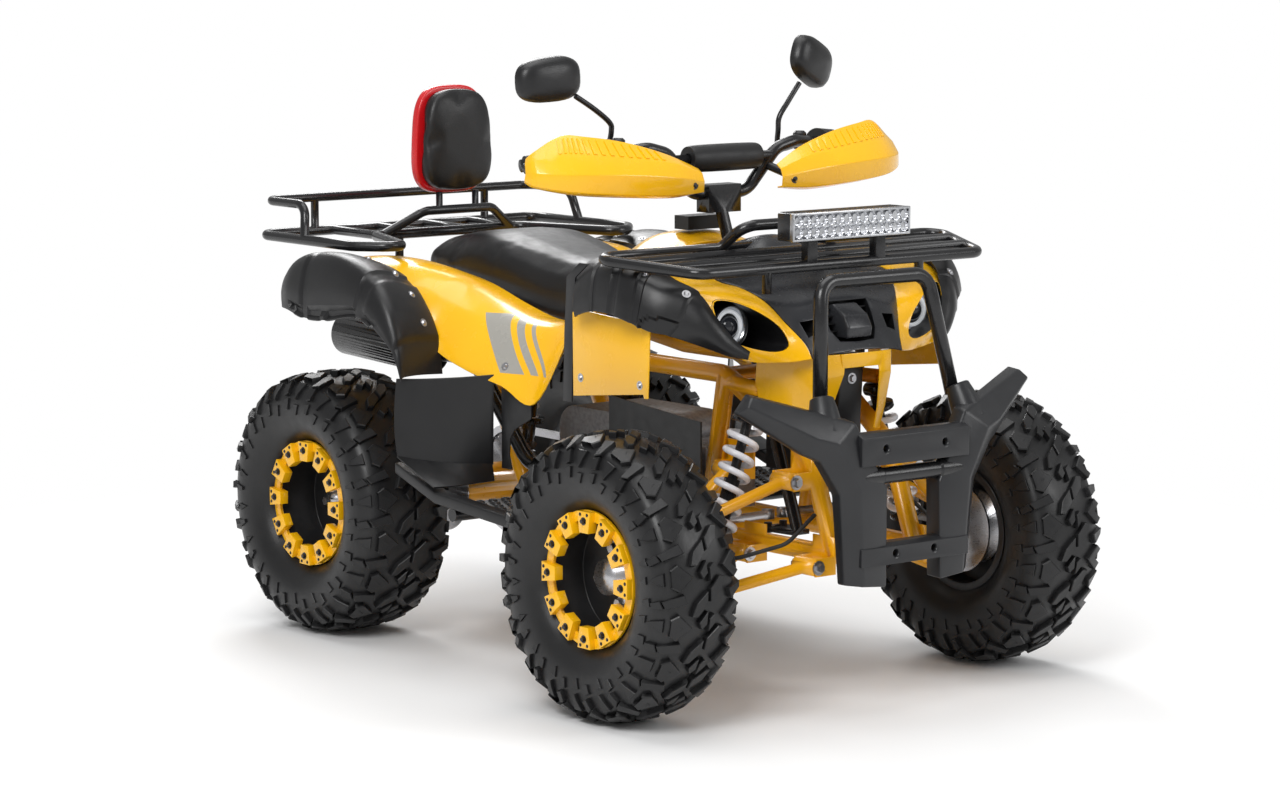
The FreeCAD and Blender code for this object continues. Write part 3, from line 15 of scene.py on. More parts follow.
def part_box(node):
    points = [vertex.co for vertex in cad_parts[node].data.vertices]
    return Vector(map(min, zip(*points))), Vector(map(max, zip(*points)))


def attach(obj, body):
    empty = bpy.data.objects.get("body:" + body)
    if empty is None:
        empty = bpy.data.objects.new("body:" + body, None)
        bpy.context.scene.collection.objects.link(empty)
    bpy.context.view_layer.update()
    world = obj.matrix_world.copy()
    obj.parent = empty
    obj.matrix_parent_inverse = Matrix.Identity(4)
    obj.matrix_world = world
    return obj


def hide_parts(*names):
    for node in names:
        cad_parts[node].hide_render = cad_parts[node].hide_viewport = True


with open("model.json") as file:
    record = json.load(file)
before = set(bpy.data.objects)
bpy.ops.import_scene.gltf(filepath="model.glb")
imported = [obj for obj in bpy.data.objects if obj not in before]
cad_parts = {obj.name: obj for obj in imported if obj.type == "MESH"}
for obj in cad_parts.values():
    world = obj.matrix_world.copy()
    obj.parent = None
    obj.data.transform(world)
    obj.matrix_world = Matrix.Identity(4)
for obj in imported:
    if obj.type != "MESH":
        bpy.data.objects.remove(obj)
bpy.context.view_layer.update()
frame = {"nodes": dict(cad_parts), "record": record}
scene = bpy.context.scene

# %% [markdown]
# ## The camera
# A picture of a real machine is taken with a long lens from some metres away, so that near and far wheels keep
# their sizes. The place, the direction and the lens were worked out from the wheels, which are known circles of
# known size. Depth of field stays off and nothing is shifted, so other views can move the same camera.

# %% Camera
CAMERA_PLACE = Vector((5.435, -4.330, 1.378))
CAMERA_AZIMUTH, CAMERA_ELEVATION = math.radians(51.41), math.radians(7.60)
LENS, SENSOR = 109.6, 36.0

camera = bpy.data.objects.new("camera", bpy.data.cameras.new("camera"))
scene.collection.objects.link(camera)
camera_back = Vector((
    math.sin(CAMERA_AZIMUTH) * math.cos(CAMERA_ELEVATION),
    -math.cos(CAMERA_AZIMUTH) * math.cos(CAMERA_ELEVATION),
    math.sin(CAMERA_ELEVATION),
))
camera.location = CAMERA_PLACE
camera.rotation_mode = "QUATERNION"
camera.rotation_quaternion = (-camera_back).to_track_quat("-Z", "Y")
camera.data.lens, camera.data.sensor_width = LENS, SENSOR
camera.data.clip_end = 100
scene.camera = camera
print("camera looks along", [round(v, 3) for v in -camera_back])

# %% [markdown]
# ## Material maths
# A finish is a small sum of patterns: grain plus dust, wear times an edge mask. Written as Python expressions such
# sums stay readable. `Wire` wraps one socket and builds a Math node for each operator; `Finish` holds one material
# and makes every other node through one method.

# %% Wires and finishes
class Wire:
    """One socket of a material, which can be used in sums."""

    def __init__(self, finish, socket):
        self.finish, self.socket = finish, socket

    def _math(self, operation, first, second):
        return self.finish.node("ShaderNodeMath", {"operation": operation}, {0: first, 1: second})

    def __add__(self, other):
        return self._math("ADD", self, other)

    def __mul__(self, other):
        return self._math("MULTIPLY", self, other)

    def __lt__(self, other):
        return self._math("LESS_THAN", self, other)

    def __gt__(self, other):
        return self._math("GREATER_THAN", self, other)

    def __abs__(self):
        return self._math("ABSOLUTE", self, 0.0)

    __radd__ = __add__
    __rmul__ = __mul__


class Finish:
    """One material and its Principled shader."""

    def __init__(self, name, **settings):
        self.material = bpy.data.materials.new(name)
        self.material.use_nodes = True
        self.tree = self.material.node_tree
        self.shader = self.tree.nodes["Principled BSDF"]
        for socket, value in settings.items():
            self.put(socket.replace("_", " ").title().replace("Ior", "IOR"), value)

    def put(self, socket, value):
        """Set one input of the shader to a number, a colour or a wire."""
        self._feed(self.shader.inputs[socket], value)

    def _feed(self, entry, value):
        if isinstance(value, Wire):
            self.tree.links.new(value.socket, entry)
        elif hasattr(value, "__len__") and len(value) == 3 and entry.type == "RGBA":
            entry.default_value = (*value, 1.0)
        else:
            entry.default_value = value

    def node(self, kind, settings=None, inputs=None, output=0):
        """Add a node: its settings first, then its inputs, and give back one output."""
        made = self.tree.nodes.new(kind)
        for name, value in (settings or {}).items():
            setattr(made, name, value)
        for name, value in (inputs or {}).items():
            self._feed(made.inputs[name], value)
        return Wire(self, made.outputs[output])

    def outputs(self, wire, *names):
        """Other outputs of the node that a wire comes from."""
        return [Wire(self, wire.socket.node.outputs[name]) for name in names]

    def place(self):
        """The point on the piece, in metres in its own frame."""
        return self.node("ShaderNodeTexCoord", output="Object")

    def noise(self, scale, detail=2.0, where=None):
        inputs = {"Vector": where or self.place(), "Scale": scale, "Detail": detail, "Roughness": 0.5}
        return self.node("ShaderNodeTexNoise", None, inputs)

    def cells(self, scale):
        inputs = {"Vector": self.place(), "Scale": scale}
        return self.node("ShaderNodeTexVoronoi", {"feature": "F1"}, inputs)

    def mix(self, share, first, second):
        """A colour between two others."""
        return self.node("ShaderNodeMix", {"data_type": "RGBA"}, {0: share, 6: first, 7: second}, output=2)

    def spread(self, value, low, high, new_low, new_high):
        """Bring a value from one range to another, held inside it."""
        inputs = {"Value": value, "From Min": low, "From Max": high, "To Min": new_low, "To Max": new_high}
        return self.node("ShaderNodeMapRange", {"clamp": True}, inputs)

    def patches(self, pattern, low, high):
        """The middle of a pattern's range, brought to another range."""
        return self.spread(pattern, 0.3, 0.7, low, high)

    def bump(self, height, strength, distance):
        """Raise the surface by a pattern, in metres."""
        inputs = {"Height": height, "Strength": strength, "Distance": distance}
        self.put("Normal", self.node("ShaderNodeBump", None, inputs))


# %% [markdown]
# ## The finishes
# Each finish follows one real material of the machine: glossy dyed plastic for the panels, grained black plastic
# for the flares, powder coat on the steel, moulded rubber on the tyres. Gloss has small changes over the surface,
# because perfectly even gloss is what makes a picture look artificial.

# %% Glossy panels and frame paint
YELLOW, YELLOW_DEEP = (0.95, 0.51, 0.004), (0.92, 0.47, 0.003)
ORANGE, ORANGE_DEEP = (0.92, 0.43, 0.003), (0.86, 0.38, 0.003)
STRIPE_GREY = (0.34, 0.33, 0.30)
TONE_SCALE, GLOSS_SCALE, PEEL_SCALE, PEEL_HEIGHT = 6.0, 40.0, 900.0, 0.0004


def glossy_panel(name, colour, deep, gloss, stripes=None):
    """Dyed plastic or paint with a soft orange peel, a slight change of tone and, on some, grey stripes."""
    finish = Finish(name, coat_weight=0.35, coat_roughness=0.08, specular_ior_level=0.5)
    paint = finish.mix(finish.patches(finish.noise(TONE_SCALE, 3.0), 0.0, 1.0), colour, deep)
    if stripes:
        paint = finish.mix(stripes(finish), paint, STRIPE_GREY)
    finish.put("Base Color", paint)
    finish.put("Roughness", finish.patches(finish.noise(GLOSS_SCALE, 4.0), *gloss))
    finish.bump(finish.noise(PEEL_SCALE, 1.0), 0.08, PEEL_HEIGHT)
    return finish.material


panel_yellow = glossy_panel("panel_yellow", YELLOW, YELLOW_DEEP, (0.192, 0.30))
frame_orange = glossy_panel("frame_orange", ORANGE, ORANGE_DEEP, (0.256, 0.40))
tail_red = glossy_panel("tail_red", (0.42, 0.004, 0.006), (0.30, 0.002, 0.004), (0.112, 0.175))
shell_red = glossy_panel("shell_red", (0.62, 0.006, 0.010), (0.52, 0.004, 0.008), (0.24, 0.375))


# %% Grained plastics, rubber and vinyl
def grained(name, colour, pale, roughness, grain, depth):
    """Moulded plastic or rubber with the fine leather-like grain of its tool."""
    finish = Finish(name, specular_ior_level=0.45)
    dust = finish.spread(finish.noise(9.0, 4.0), 0.35, 0.75, 0.0, 0.6)
    finish.put("Base Color", finish.mix(dust, colour, pale))
    finish.put("Roughness", finish.patches(finish.noise(60.0, 3.0), roughness * 0.88, roughness * 1.12))
    finish.bump(finish.cells(grain) * 0.6 + finish.noise(grain * 1.6, 2.0) * 0.4, 0.35, depth)
    return finish.material


black_plastic = grained("black_plastic", (0.0065, 0.0065, 0.0072), (0.012, 0.012, 0.013), 0.36, 900.0, 0.00035)
rubber = grained("rubber", (0.012, 0.012, 0.012), (0.02, 0.02, 0.02), 0.62, 700.0, 0.0003)
vinyl = grained("vinyl", (0.006, 0.006, 0.0065), (0.010, 0.010, 0.011), 0.40, 420.0, 0.0006)
tyre_rubber = grained("tyre_rubber", (0.007, 0.007, 0.0075), (0.014, 0.014, 0.015), 0.40, 500.0, 0.0004)
foam = grained("foam", (0.007, 0.007, 0.0075), (0.011, 0.011, 0.012), 0.5, 260.0, 0.0006)
bumper_grey = grained("bumper_grey", (0.014, 0.0145, 0.016), (0.024, 0.0245, 0.027), 0.34, 1100.0, 0.00025)
nose_grey = grained("nose_grey", (0.024, 0.025, 0.028), (0.036, 0.037, 0.041), 0.26, 1000.0, 0.0002)


# %% Metals and lamps
def metal(name, colour, roughness, metallic=1.0, streak=0.0):
    """Bare or painted steel; a streak stretches the pattern along the machine."""
    finish = Finish(name, metallic=metallic)
    pattern = finish.noise(120.0, 4.0)
    if streak:
        inputs = {"Vector": finish.place(), "Scale": (1.0, streak, streak)}
        pattern = finish.noise(180.0, 3.0, where=finish.node("ShaderNodeMapping", None, inputs))
    finish.put("Base Color", finish.mix(finish.patches(pattern, 0.0, 1.0), colour, [c * 0.8 for c in colour]))
    finish.put("Roughness", finish.patches(pattern, roughness * 0.8, roughness * 1.3))
    return finish.material


def plain_glow(name, colour, strength):
    """A pale piece of a lamp that is a little brighter than the light on it."""
    finish = Finish(name, base_color=colour, emission_color=colour, emission_strength=strength)
    finish.put("Roughness", finish.patches(finish.noise(200.0), 0.15, 0.25))
    return finish.material


bare_steel = metal("bare_steel", (0.56, 0.56, 0.58), 0.3, streak=8.0)
cast_metal = metal("cast_metal", (0.36, 0.36, 0.37), 0.5)
black_steel = metal("black_steel", (0.012, 0.012, 0.013), 0.22, metallic=0.0)
wheel_black = metal("wheel_black", (0.010, 0.010, 0.011), 0.38, metallic=0.0)
spring_white = metal("spring_white", (0.80, 0.80, 0.84), 0.26, metallic=0.0)
dark_lens = metal("dark_lens", (0.02, 0.022, 0.028), 0.05, metallic=0.0)
bright_bowl = metal("bright_bowl", (0.62, 0.63, 0.66), 0.16)
mirror_glass = metal("mirror_glass", (0.75, 0.77, 0.80), 0.04)
bar_silver = metal("bar_silver", (0.55, 0.56, 0.58), 0.28)
cup_silver = metal("cup_silver", (0.86, 0.87, 0.90), 0.14)
halo_white = plain_glow("halo_white", (0.85, 0.88, 0.92), 0.25)

# %% [markdown]
# The side panel carries slanting grey stripes. A picture could be laid on it, but plain masks stay sharp at any
# distance: a stripe is where length plus height lies between two values, inside a window of the panel.

# %% Side panel with its plain stripes
STRIPES = ((0.462, 0.512), (0.526, 0.544), (0.560, 0.570))
WINDOW_X, WINDOW_Z, WINDOW_OUT = (-0.17, 0.09), (0.516, 0.612), 0.2


def side_stripes(finish):
    """1 on the stripes and 0 elsewhere."""
    along, across, height = finish.outputs(
        finish.node("ShaderNodeSeparateXYZ", None, {"Vector": finish.place()}), "X", "Y", "Z")
    slant = along + height
    bars = [(slant > start) * (slant < end) for start, end in STRIPES]
    window = (along < WINDOW_X[1]) * (along > WINDOW_X[0]) * (height > WINDOW_Z[0]) * (height < WINDOW_Z[1])
    return (bars[0] + bars[1] + bars[2]) * (window * (abs(across) > WINDOW_OUT))


side_yellow = glossy_panel("side_yellow", YELLOW, YELLOW_DEEP, (0.2, 0.3), side_stripes)
print("finishes", len(bpy.data.materials))

# %% [markdown]
# ## How a construction node becomes a finished piece
# A node from the construction model is a bag of loose triangles, so light breaks on every facet. A copy whose
# doubles are merged can be shaded smooth and keeps a crease only where the real surface has an edge. Rims, rings
# and engine also get a small bevel, because a real pressing or casting has no knife edges and its rounded corners
# catch the light. The copy then stands for the node.

# %% Helpers for pieces
body_of_node = {node: body for body, nodes in frame["record"]["behaviour"]["bodies"].items()
                for node in nodes}
MERGE_GAP, FLAT_ANGLE, HARD_ANGLE = 2e-5, math.radians(1.5), 0.6


def linked(name, data):
    """An object of the scene with this data."""
    thing = bpy.data.objects.new(name, data)
    scene.collection.objects.link(thing)
    return thing


def settled(thing, helpers=()):
    """The plain mesh that an object's modifiers give. The object and its helpers are deleted."""
    grid = bpy.context.evaluated_depsgraph_get()
    mesh = bpy.data.meshes.new_from_object(thing.evaluated_get(grid), depsgraph=grid)
    for item in (thing, *helpers):
        bpy.data.objects.remove(item, do_unlink=True)
    return mesh


def show(name, mesh, finish, node=None, smooth=32, body="chassis"):
    """Link a mesh as a piece. It stands for a node and rides with it, or else rides on the body named."""
    mesh.name = name
    thing = linked(name, mesh)
    mesh.materials.clear()
    mesh.materials.append(finish)
    mesh.shade_smooth()
    if smooth:
        mesh.set_sharp_from_angle(angle=math.radians(smooth))
    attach(thing, body_of_node[node] if node else body)
    if node:
        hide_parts(node)
    return thing


def loaded(mesh):
    """A mesh opened for editing."""
    shape = bmesh.new()
    shape.from_mesh(mesh)
    return shape


def merged(node):
    """A clean copy of a node's mesh, with its loose triangles joined."""
    shape = loaded(frame["nodes"][node].data)
    bmesh.ops.remove_doubles(shape, verts=shape.verts, dist=MERGE_GAP)
    return shape


def to_mesh(shape, turn=True):
    """Close a bmesh into a mesh, with its faces turned outwards."""
    if turn:
        bmesh.ops.recalc_face_normals(shape, faces=shape.faces)
    mesh = bpy.data.meshes.new("piece")
    shape.to_mesh(mesh)
    shape.free()
    return mesh


def dress(node, finish, smooth=34, bevel=0.0):
    """Stand a merged, smooth copy for a node."""
    shape = merged(node)
    if bevel:
        bmesh.ops.dissolve_limit(shape, angle_limit=FLAT_ANGLE, verts=shape.verts, edges=shape.edges)
        hard = [edge for edge in shape.edges
                if len(edge.link_faces) == 2 and edge.calc_face_angle(0) > HARD_ANGLE]
        bmesh.ops.bevel(shape, geom=hard, offset=bevel, segments=2, profile=0.5, affect="EDGES", clamp_overlap=True)
        bmesh.ops.triangulate(shape, faces=[face for face in shape.faces if len(face.verts) > 4])
    show(node + "_finished", to_mesh(shape, turn=False), finish, node, smooth)


# %% [markdown]
# ## Rings
# Tyres, lamp bowls, tubes and cushions are all rings of points with faces between them. Three helpers make them:
# the steps round a circle, the faces between rings, and a smooth row through a few points.

# %% Helpers for rings
def circle(steps):
    """The cosine and the sine of each step round a circle."""
    angles = [2 * math.pi * index / steps for index in range(steps)]
    return [(math.cos(angle), math.sin(angle)) for angle in angles]


def stitch(shape, rings):
    """Faces between each ring of points and the next."""
    for ring, following in zip(rings, rings[1:]):
        for index in range(len(ring)):
            after = (index + 1) % len(ring)
            shape.faces.new((ring[index], ring[after], following[after], following[index]))


def rounded(points, steps):
    """A smooth row through points."""
    rows = [points[0]] + list(points) + [points[-1]]
    result = []
    for index in range(1, len(rows) - 2):
        before, start, end, after = (Vector(point) for point in rows[index - 1:index + 3])
        for step in range(steps):
            t = step / steps
            bend = 2 * before - 5 * start + 4 * end - after
            twist = 3 * start - before - 3 * end + after
            result.append(0.5 * (2 * start + (end - before) * t + bend * t * t + twist * t ** 3))
    return result + [Vector(rows[-1])]


# %% [markdown]
# ## Finding the surface
# A screw has to sit on the panel that it holds. A ray sent from outside towards the panel gives the exact point
# and the direction that the surface faces there, which is what a fastener needs.

# %% Rays
surfaces = {}


def surface_of(name):
    """The faces of a node or of a finished piece, kept for rays and for nearest points."""
    if name not in surfaces:
        shape = merged(name) if name in body_of_node else loaded(bpy.data.objects[name].data)
        surfaces[name] = BVHTree.FromBMesh(shape)
        shape.free()
    return surfaces[name]


def hit(name, start, towards):
    """The first point of a surface along a ray, and its direction there."""
    place, normal, _, _ = surface_of(name).ray_cast(Vector(start), Vector(towards).normalized())
    if place is None:
        print("no surface on", name, "from", start)
        return None
    return place, -normal if normal.dot(Vector(towards)) > 0 else normal


def nearest(name, point):
    """The closest point on a surface."""
    return surface_of(name).find_nearest(Vector(point))[0]


# %% [markdown]
# ## Fasteners by Geometry Nodes
# Bolts and screws repeat all over the machine. One tree makes a head from its sizes and puts a copy on every point
# of a cloud, turned so that it faces along the point's own `facing`. Realize Instances makes them real geometry.

# %% Helpers for trees
def open_tree(name, inputs, output):
    """A tree with named inputs and a finish: the tree, its inputs by name and its closing node."""
    tree = bpy.data.node_groups.new(name, "GeometryNodeTree")
    for socket, kind in (*inputs, ("Finish", "Material")):
        tree.interface.new_socket(socket, in_out="INPUT", socket_type="NodeSocket" + kind)
    tree.interface.new_socket(output, in_out="OUTPUT", socket_type="NodeSocketGeometry")
    return tree, tree.nodes.new("NodeGroupInput").outputs, tree.nodes.new("NodeGroupOutput")


def close_tree(tree, given, result, geometry, links):
    """Link the sockets, then make the geometry real and give it its finish."""
    real, coloured = (tree.nodes.new("GeometryNode" + kind) for kind in ("RealizeInstances", "SetMaterial"))
    for start, end in (*links, (geometry, real.inputs[0]), (real.outputs[0], coloured.inputs["Geometry"]),
                       (given["Finish"], coloured.inputs["Material"]), (coloured.outputs[0], result.inputs[0])):
        tree.links.new(start, end)
    return tree


def maths(tree, operation):
    step = tree.nodes.new("ShaderNodeMath")
    step.operation = operation
    return step


def grow(name, base, tree, settings, node=None, smooth=40, body="chassis", place=None):
    """Run a tree on a mesh with named inputs, and keep the result as a plain piece."""
    seed = linked(name + "_seed", base)
    modifier = seed.modifiers.new("grow", "NODES")
    modifier.node_group = tree
    for item in tree.interface.items_tree:
        if item.item_type == "SOCKET" and item.in_out == "INPUT" and item.name in settings:
            modifier[item.identifier] = settings[item.name]
    mesh = settled(seed)
    if place:
        mesh.transform(place)
    return show(name, mesh, settings["Finish"], node, smooth, body)


# %% The fastener tree
WASHER_SIDES, WASHER_WIDE, WASHER_HIGH = 18, 1.45, 0.3


def fastener_tree(name, sides, top_share):
    """A head with a washer: six sides make a bolt, many sides with a small top make a pan-head screw."""
    sizes = (("Points", "Geometry"), ("Head radius", "Float"), ("Head height", "Float"))
    tree, given, result = open_tree(name, sizes, "Fasteners")
    make = tree.nodes.new
    head, washer = make("GeometryNodeMeshCone"), make("GeometryNodeMeshCylinder")
    head.inputs["Vertices"].default_value = sides
    washer.inputs["Vertices"].default_value = WASHER_SIDES
    for source, factor, socket in (("Head radius", 1.0, head.inputs["Radius Bottom"]),
                                   ("Head radius", top_share, head.inputs["Radius Top"]),
                                   ("Head height", 1.0, head.inputs["Depth"]),
                                   ("Head radius", WASHER_WIDE, washer.inputs["Radius"]),
                                   ("Head height", WASHER_HIGH, washer.inputs["Depth"])):
        scale = maths(tree, "MULTIPLY")
        scale.inputs[1].default_value = factor
        tree.links.new(given[source], scale.inputs[0])
        tree.links.new(scale.outputs[0], socket)
    both, spots = make("GeometryNodeJoinGeometry"), make("GeometryNodeInstanceOnPoints")
    turned, facing = make("FunctionNodeAlignRotationToVector"), make("GeometryNodeInputNamedAttribute")
    turned.axis, facing.data_type = "Z", "FLOAT_VECTOR"
    facing.inputs["Name"].default_value = "facing"
    return close_tree(tree, given, result, spots.outputs[0], (
        (head.outputs["Mesh"], both.inputs[0]), (washer.outputs["Mesh"], both.inputs[0]),
        (given["Points"], spots.inputs["Points"]), (both.outputs[0], spots.inputs["Instance"]),
        (facing.outputs["Attribute"], turned.inputs["Vector"]), (turned.outputs[0], spots.inputs["Rotation"])))


hex_tree = fastener_tree("hex_bolts", 6, 0.86)
pan_tree = fastener_tree("pan_screws", 20, 0.55)


def cloud(spots):
    """A mesh of points with the way that each one faces."""
    mesh = bpy.data.meshes.new("spots")
    mesh.from_pydata([tuple(place) for place, facing in spots], [], [])
    attribute = mesh.attributes.new("facing", "FLOAT_VECTOR", "POINT")
    for item, (place, facing) in zip(attribute.data, spots):
        item.vector = facing
    return mesh


def fasten(name, spots, tree, radius, height, finish, body="chassis"):
    """Put a head of this radius and height on every spot that was found."""
    spots = [spot for spot in spots if spot]
    grow(name, cloud(spots), tree, {"Head radius": radius, "Head height": height, "Finish": finish}, body=body)
    print(name, len(spots), "fasteners")


# %% [markdown]
# ## Tyres
# The real tyre is a smooth carcass with separate rubber lugs: bars along the middle, open chevrons beside them,
# angled bars over the shoulder and small wedges down the side. The pattern repeats 18 times, the two halves half a
# step apart. One pitch is laid on the carcass in Python, because it has to follow its curve; a tree then copies it
# round the axle.

# %% Carcass
CARCASS = ((0.62, 0.0), (0.64, 0.10), (0.84, 0.24), (0.96, 0.40), (1.0, 0.60), (0.95, 0.78), (0.80, 0.92),
           (0.45, 0.99), (0.0, 1.0))
BEAD, CROWN, PITCHES, ROUND_STEPS = 0.1019, 0.2317, 18, 108


def carcass_line(half_width):
    """Points (y, radius) from the crown's middle down to the bead, with the length to each."""
    line = rounded([(y * half_width, BEAD + (CROWN - BEAD) * r) for y, r in reversed(CARCASS)], 8)
    reach = [0.0]
    for start, end in zip(line, line[1:]):
        reach.append(reach[-1] + (end - start).length)
    return line, reach


def on_carcass(line, reach, share):
    """The point and the outward direction at a share of the way from crown to bead."""
    wanted = share * reach[-1]
    index = next((i for i, length in enumerate(reach) if length > wanted), len(reach) - 1)
    start, end = line[index - 1], line[index]
    along = (end - start).normalized()
    place = start + along * (wanted - reach[index - 1])
    return place, Vector((-along.y, along.x)) if along.x >= 0 or along.y < 0 else Vector((along.y, -along.x))


def spun(outline, steps=ROUND_STEPS):
    """Turn a closed outline of (y, radius) round the axle."""
    shape = bmesh.new()
    rings = [[shape.verts.new((r * c, y, r * s)) for y, r in outline] for c, s in circle(steps)]
    stitch(shape, rings + rings[:1])
    return to_mesh(shape)


# %% One pitch of the tread
# Each lug is its height and its corners: how far along the pitch, and the share of the way from crown to bead.
LUGS = (
    (0.0098, ((-0.36, 0.012), (-0.10, 0.012), (0.14, 0.115), (0.12, 0.165), (-0.14, 0.125))),
    (0.0098, ((0.04, 0.010), (0.30, 0.010), (0.40, 0.060), (0.26, 0.088))),
    (0.0098, ((0.34, 0.150), (0.62, 0.275), (0.52, 0.335), (0.34, 0.235), (0.16, 0.335), (0.06, 0.275))),
    (0.0095, ((-0.34, 0.235), (-0.14, 0.205), (-0.04, 0.370), (-0.20, 0.400))),
    (0.0085, ((-0.21, 0.412), (-0.05, 0.382), (0.02, 0.480), (-0.14, 0.500))),
    (0.0065, ((0.20, 0.375), (0.48, 0.375), (0.40, 0.470), (0.34, 0.520), (0.28, 0.470))),
    (0.0040, ((-0.22, 0.530), (-0.02, 0.515), (-0.06, 0.610), (-0.16, 0.610))),
    (0.0030, ((0.24, 0.560), (0.44, 0.560), (0.34, 0.650))),
)
LUG_ROOT, LUG_LEVELS = (-0.004, 1.06), ((0.86, 0.97), (1.0, 0.88))


def tread_pitch(half_width):
    """The lugs of one pitch on both halves."""
    line, reach = carcass_line(half_width)
    shape = bmesh.new()
    for side in (-1, 1):
        for height, corners in LUGS:
            middle = Vector((sum(u for u, w in corners), sum(w for u, w in corners))) / len(corners)
            levels = []
            for lift, shrink in (LUG_ROOT, *((height * share, shrink) for share, shrink in LUG_LEVELS)):
                ring = []
                for corner in corners:
                    u, w = middle + (Vector(corner) - middle) * shrink
                    place, out = on_carcass(line, reach, max(w, 0.002))
                    y, radius = place + out * lift
                    turn = 2 * math.pi * side * (u + 0.25) / PITCHES
                    ring.append(shape.verts.new((radius * math.cos(turn), side * y, radius * math.sin(turn))))
                levels.append(ring)
            stitch(shape, levels)
            shape.faces.new(levels[-1])
            shape.faces.new(list(reversed(levels[0])))
    bmesh.ops.triangulate(shape, faces=[face for face in shape.faces if len(face.verts) > 4])
    return to_mesh(shape)


# %% The tree that repeats a pitch
def turning_tree():
    """Copies the given geometry round the Y axis."""
    tree, given, result = open_tree("round_the_axle", (("Pitch", "Geometry"), ("Pitches", "Int")), "Tread")
    make = tree.nodes.new
    line, number, spots = (make("GeometryNode" + kind) for kind in ("MeshLine", "InputIndex", "InstanceOnPoints"))
    step, turn, angle = maths(tree, "DIVIDE"), maths(tree, "MULTIPLY"), make("ShaderNodeCombineXYZ")
    line.inputs["Offset"].default_value = (0, 0, 0)
    step.inputs[0].default_value = 2 * math.pi
    return close_tree(tree, given, result, spots.outputs[0], (
        (given["Pitches"], line.inputs["Count"]), (given["Pitches"], step.inputs[1]),
        (number.outputs[0], turn.inputs[0]), (step.outputs[0], turn.inputs[1]), (turn.outputs[0], angle.inputs["Y"]),
        (line.outputs["Mesh"], spots.inputs["Points"]), (given["Pitch"], spots.inputs["Instance"]),
        (angle.outputs[0], spots.inputs["Rotation"])))


turning = turning_tree()

# %% Four tyres
FRONT_HALF_WIDTH, REAR_HALF_WIDTH = 0.080, 0.100
CORNERS = ("front_left", "front_right", "rear_left", "rear_right")


def wheel_centre(corner):
    """The middle of a wheel, from the box of its tyre."""
    low, high = (Vector(point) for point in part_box("tyre_" + corner))
    return (low + high) / 2


for corner in CORNERS:
    node, place = "tyre_" + corner, Matrix.Translation(wheel_centre(corner))
    half_width = FRONT_HALF_WIDTH if "front" in corner else REAR_HALF_WIDTH
    line, reach = carcass_line(half_width)
    casing = spun([(y, r) for y, r in line] + [(-y, r) for y, r in reversed(line[1:])])
    casing.transform(place)
    show(node + "_carcass", casing, tyre_rubber, node, 50)
    settings = {"Pitches": PITCHES, "Finish": tyre_rubber}
    grow(node + "_tread", tread_pitch(half_width), turning, settings, node, 20, place=place)
print("tyres", [round(v, 3) for v in wheel_centre("front_left")], "lugs", len(LUGS) * 2 * PITCHES)

# %% [markdown]
# ## Wheels
# The pressed wheel is black powder coat and its bolted outer ring is yellow. A bevel on the pressed edges makes
# them read as thick sheet. Each block of the ring carries a black bolt between two small rivets, and four nuts
# hold the wheel on its hub.

# %% Rims and rings
PRESSED_EDGE = 0.0012
for node in ("rim_front_left", "rim_front_right", "rims_rear"):
    dress(node, wheel_black, 40, PRESSED_EDGE)
for node in ("ring_front_left", "ring_front_right", "rings_rear"):
    dress(node, panel_yellow, 30, PRESSED_EDGE)

# %% Wheel bolts, rivets and nuts
RING_BOLTS, WHEEL_NUTS, OUTSIDE = 12, 4, 0.2
BOLT_CIRCLE, RIVET_CIRCLE, NUT_CIRCLE, RIVET_PHASE, NUT_PHASE = 0.098, 0.109, 0.046, 0.16, 0.125


def wheel_spots(corner, node, radius, count, phase=0.0):
    """Points round a wheel's outer face, found with rays from outside."""
    centre = wheel_centre(corner)
    side = 1 if centre.y > 0 else -1
    spots = []
    for index in range(count):
        turn = 2 * math.pi * (index + phase) / count
        start = centre + Vector((radius * math.cos(turn), side * OUTSIDE, radius * math.sin(turn)))
        spots.append(hit(node, start, (0, -side, 0)))
    return spots


for corner in CORNERS:
    ring, rim = ("ring_" + corner, "rim_" + corner) if "front" in corner else ("rings_rear", "rims_rear")
    body = body_of_node["tyre_" + corner]
    bolts = wheel_spots(corner, ring, BOLT_CIRCLE, RING_BOLTS)
    fasten("ring_bolts_" + corner, bolts, hex_tree, 0.0046, 0.005, black_steel, body)
    rivets = [spot for phase in (RIVET_PHASE, -RIVET_PHASE)
              for spot in wheel_spots(corner, ring, RIVET_CIRCLE, RING_BOLTS, phase)]
    fasten("ring_rivets_" + corner, rivets, pan_tree, 0.0021, 0.0018, black_steel, body)
    nuts = wheel_spots(corner, rim, NUT_CIRCLE, WHEEL_NUTS, NUT_PHASE)
    fasten("wheel_nuts_" + corner, nuts, hex_tree, 0.0095, 0.014, bare_steel, body)

# %% [markdown]
# ## Springs
# A coil spring is a circle swept along a helix. The Spiral curve and Curve to Mesh do exactly that, so the tree
# needs only the number of turns, the radii and the height. It stands along Z and is then laid on its damper.

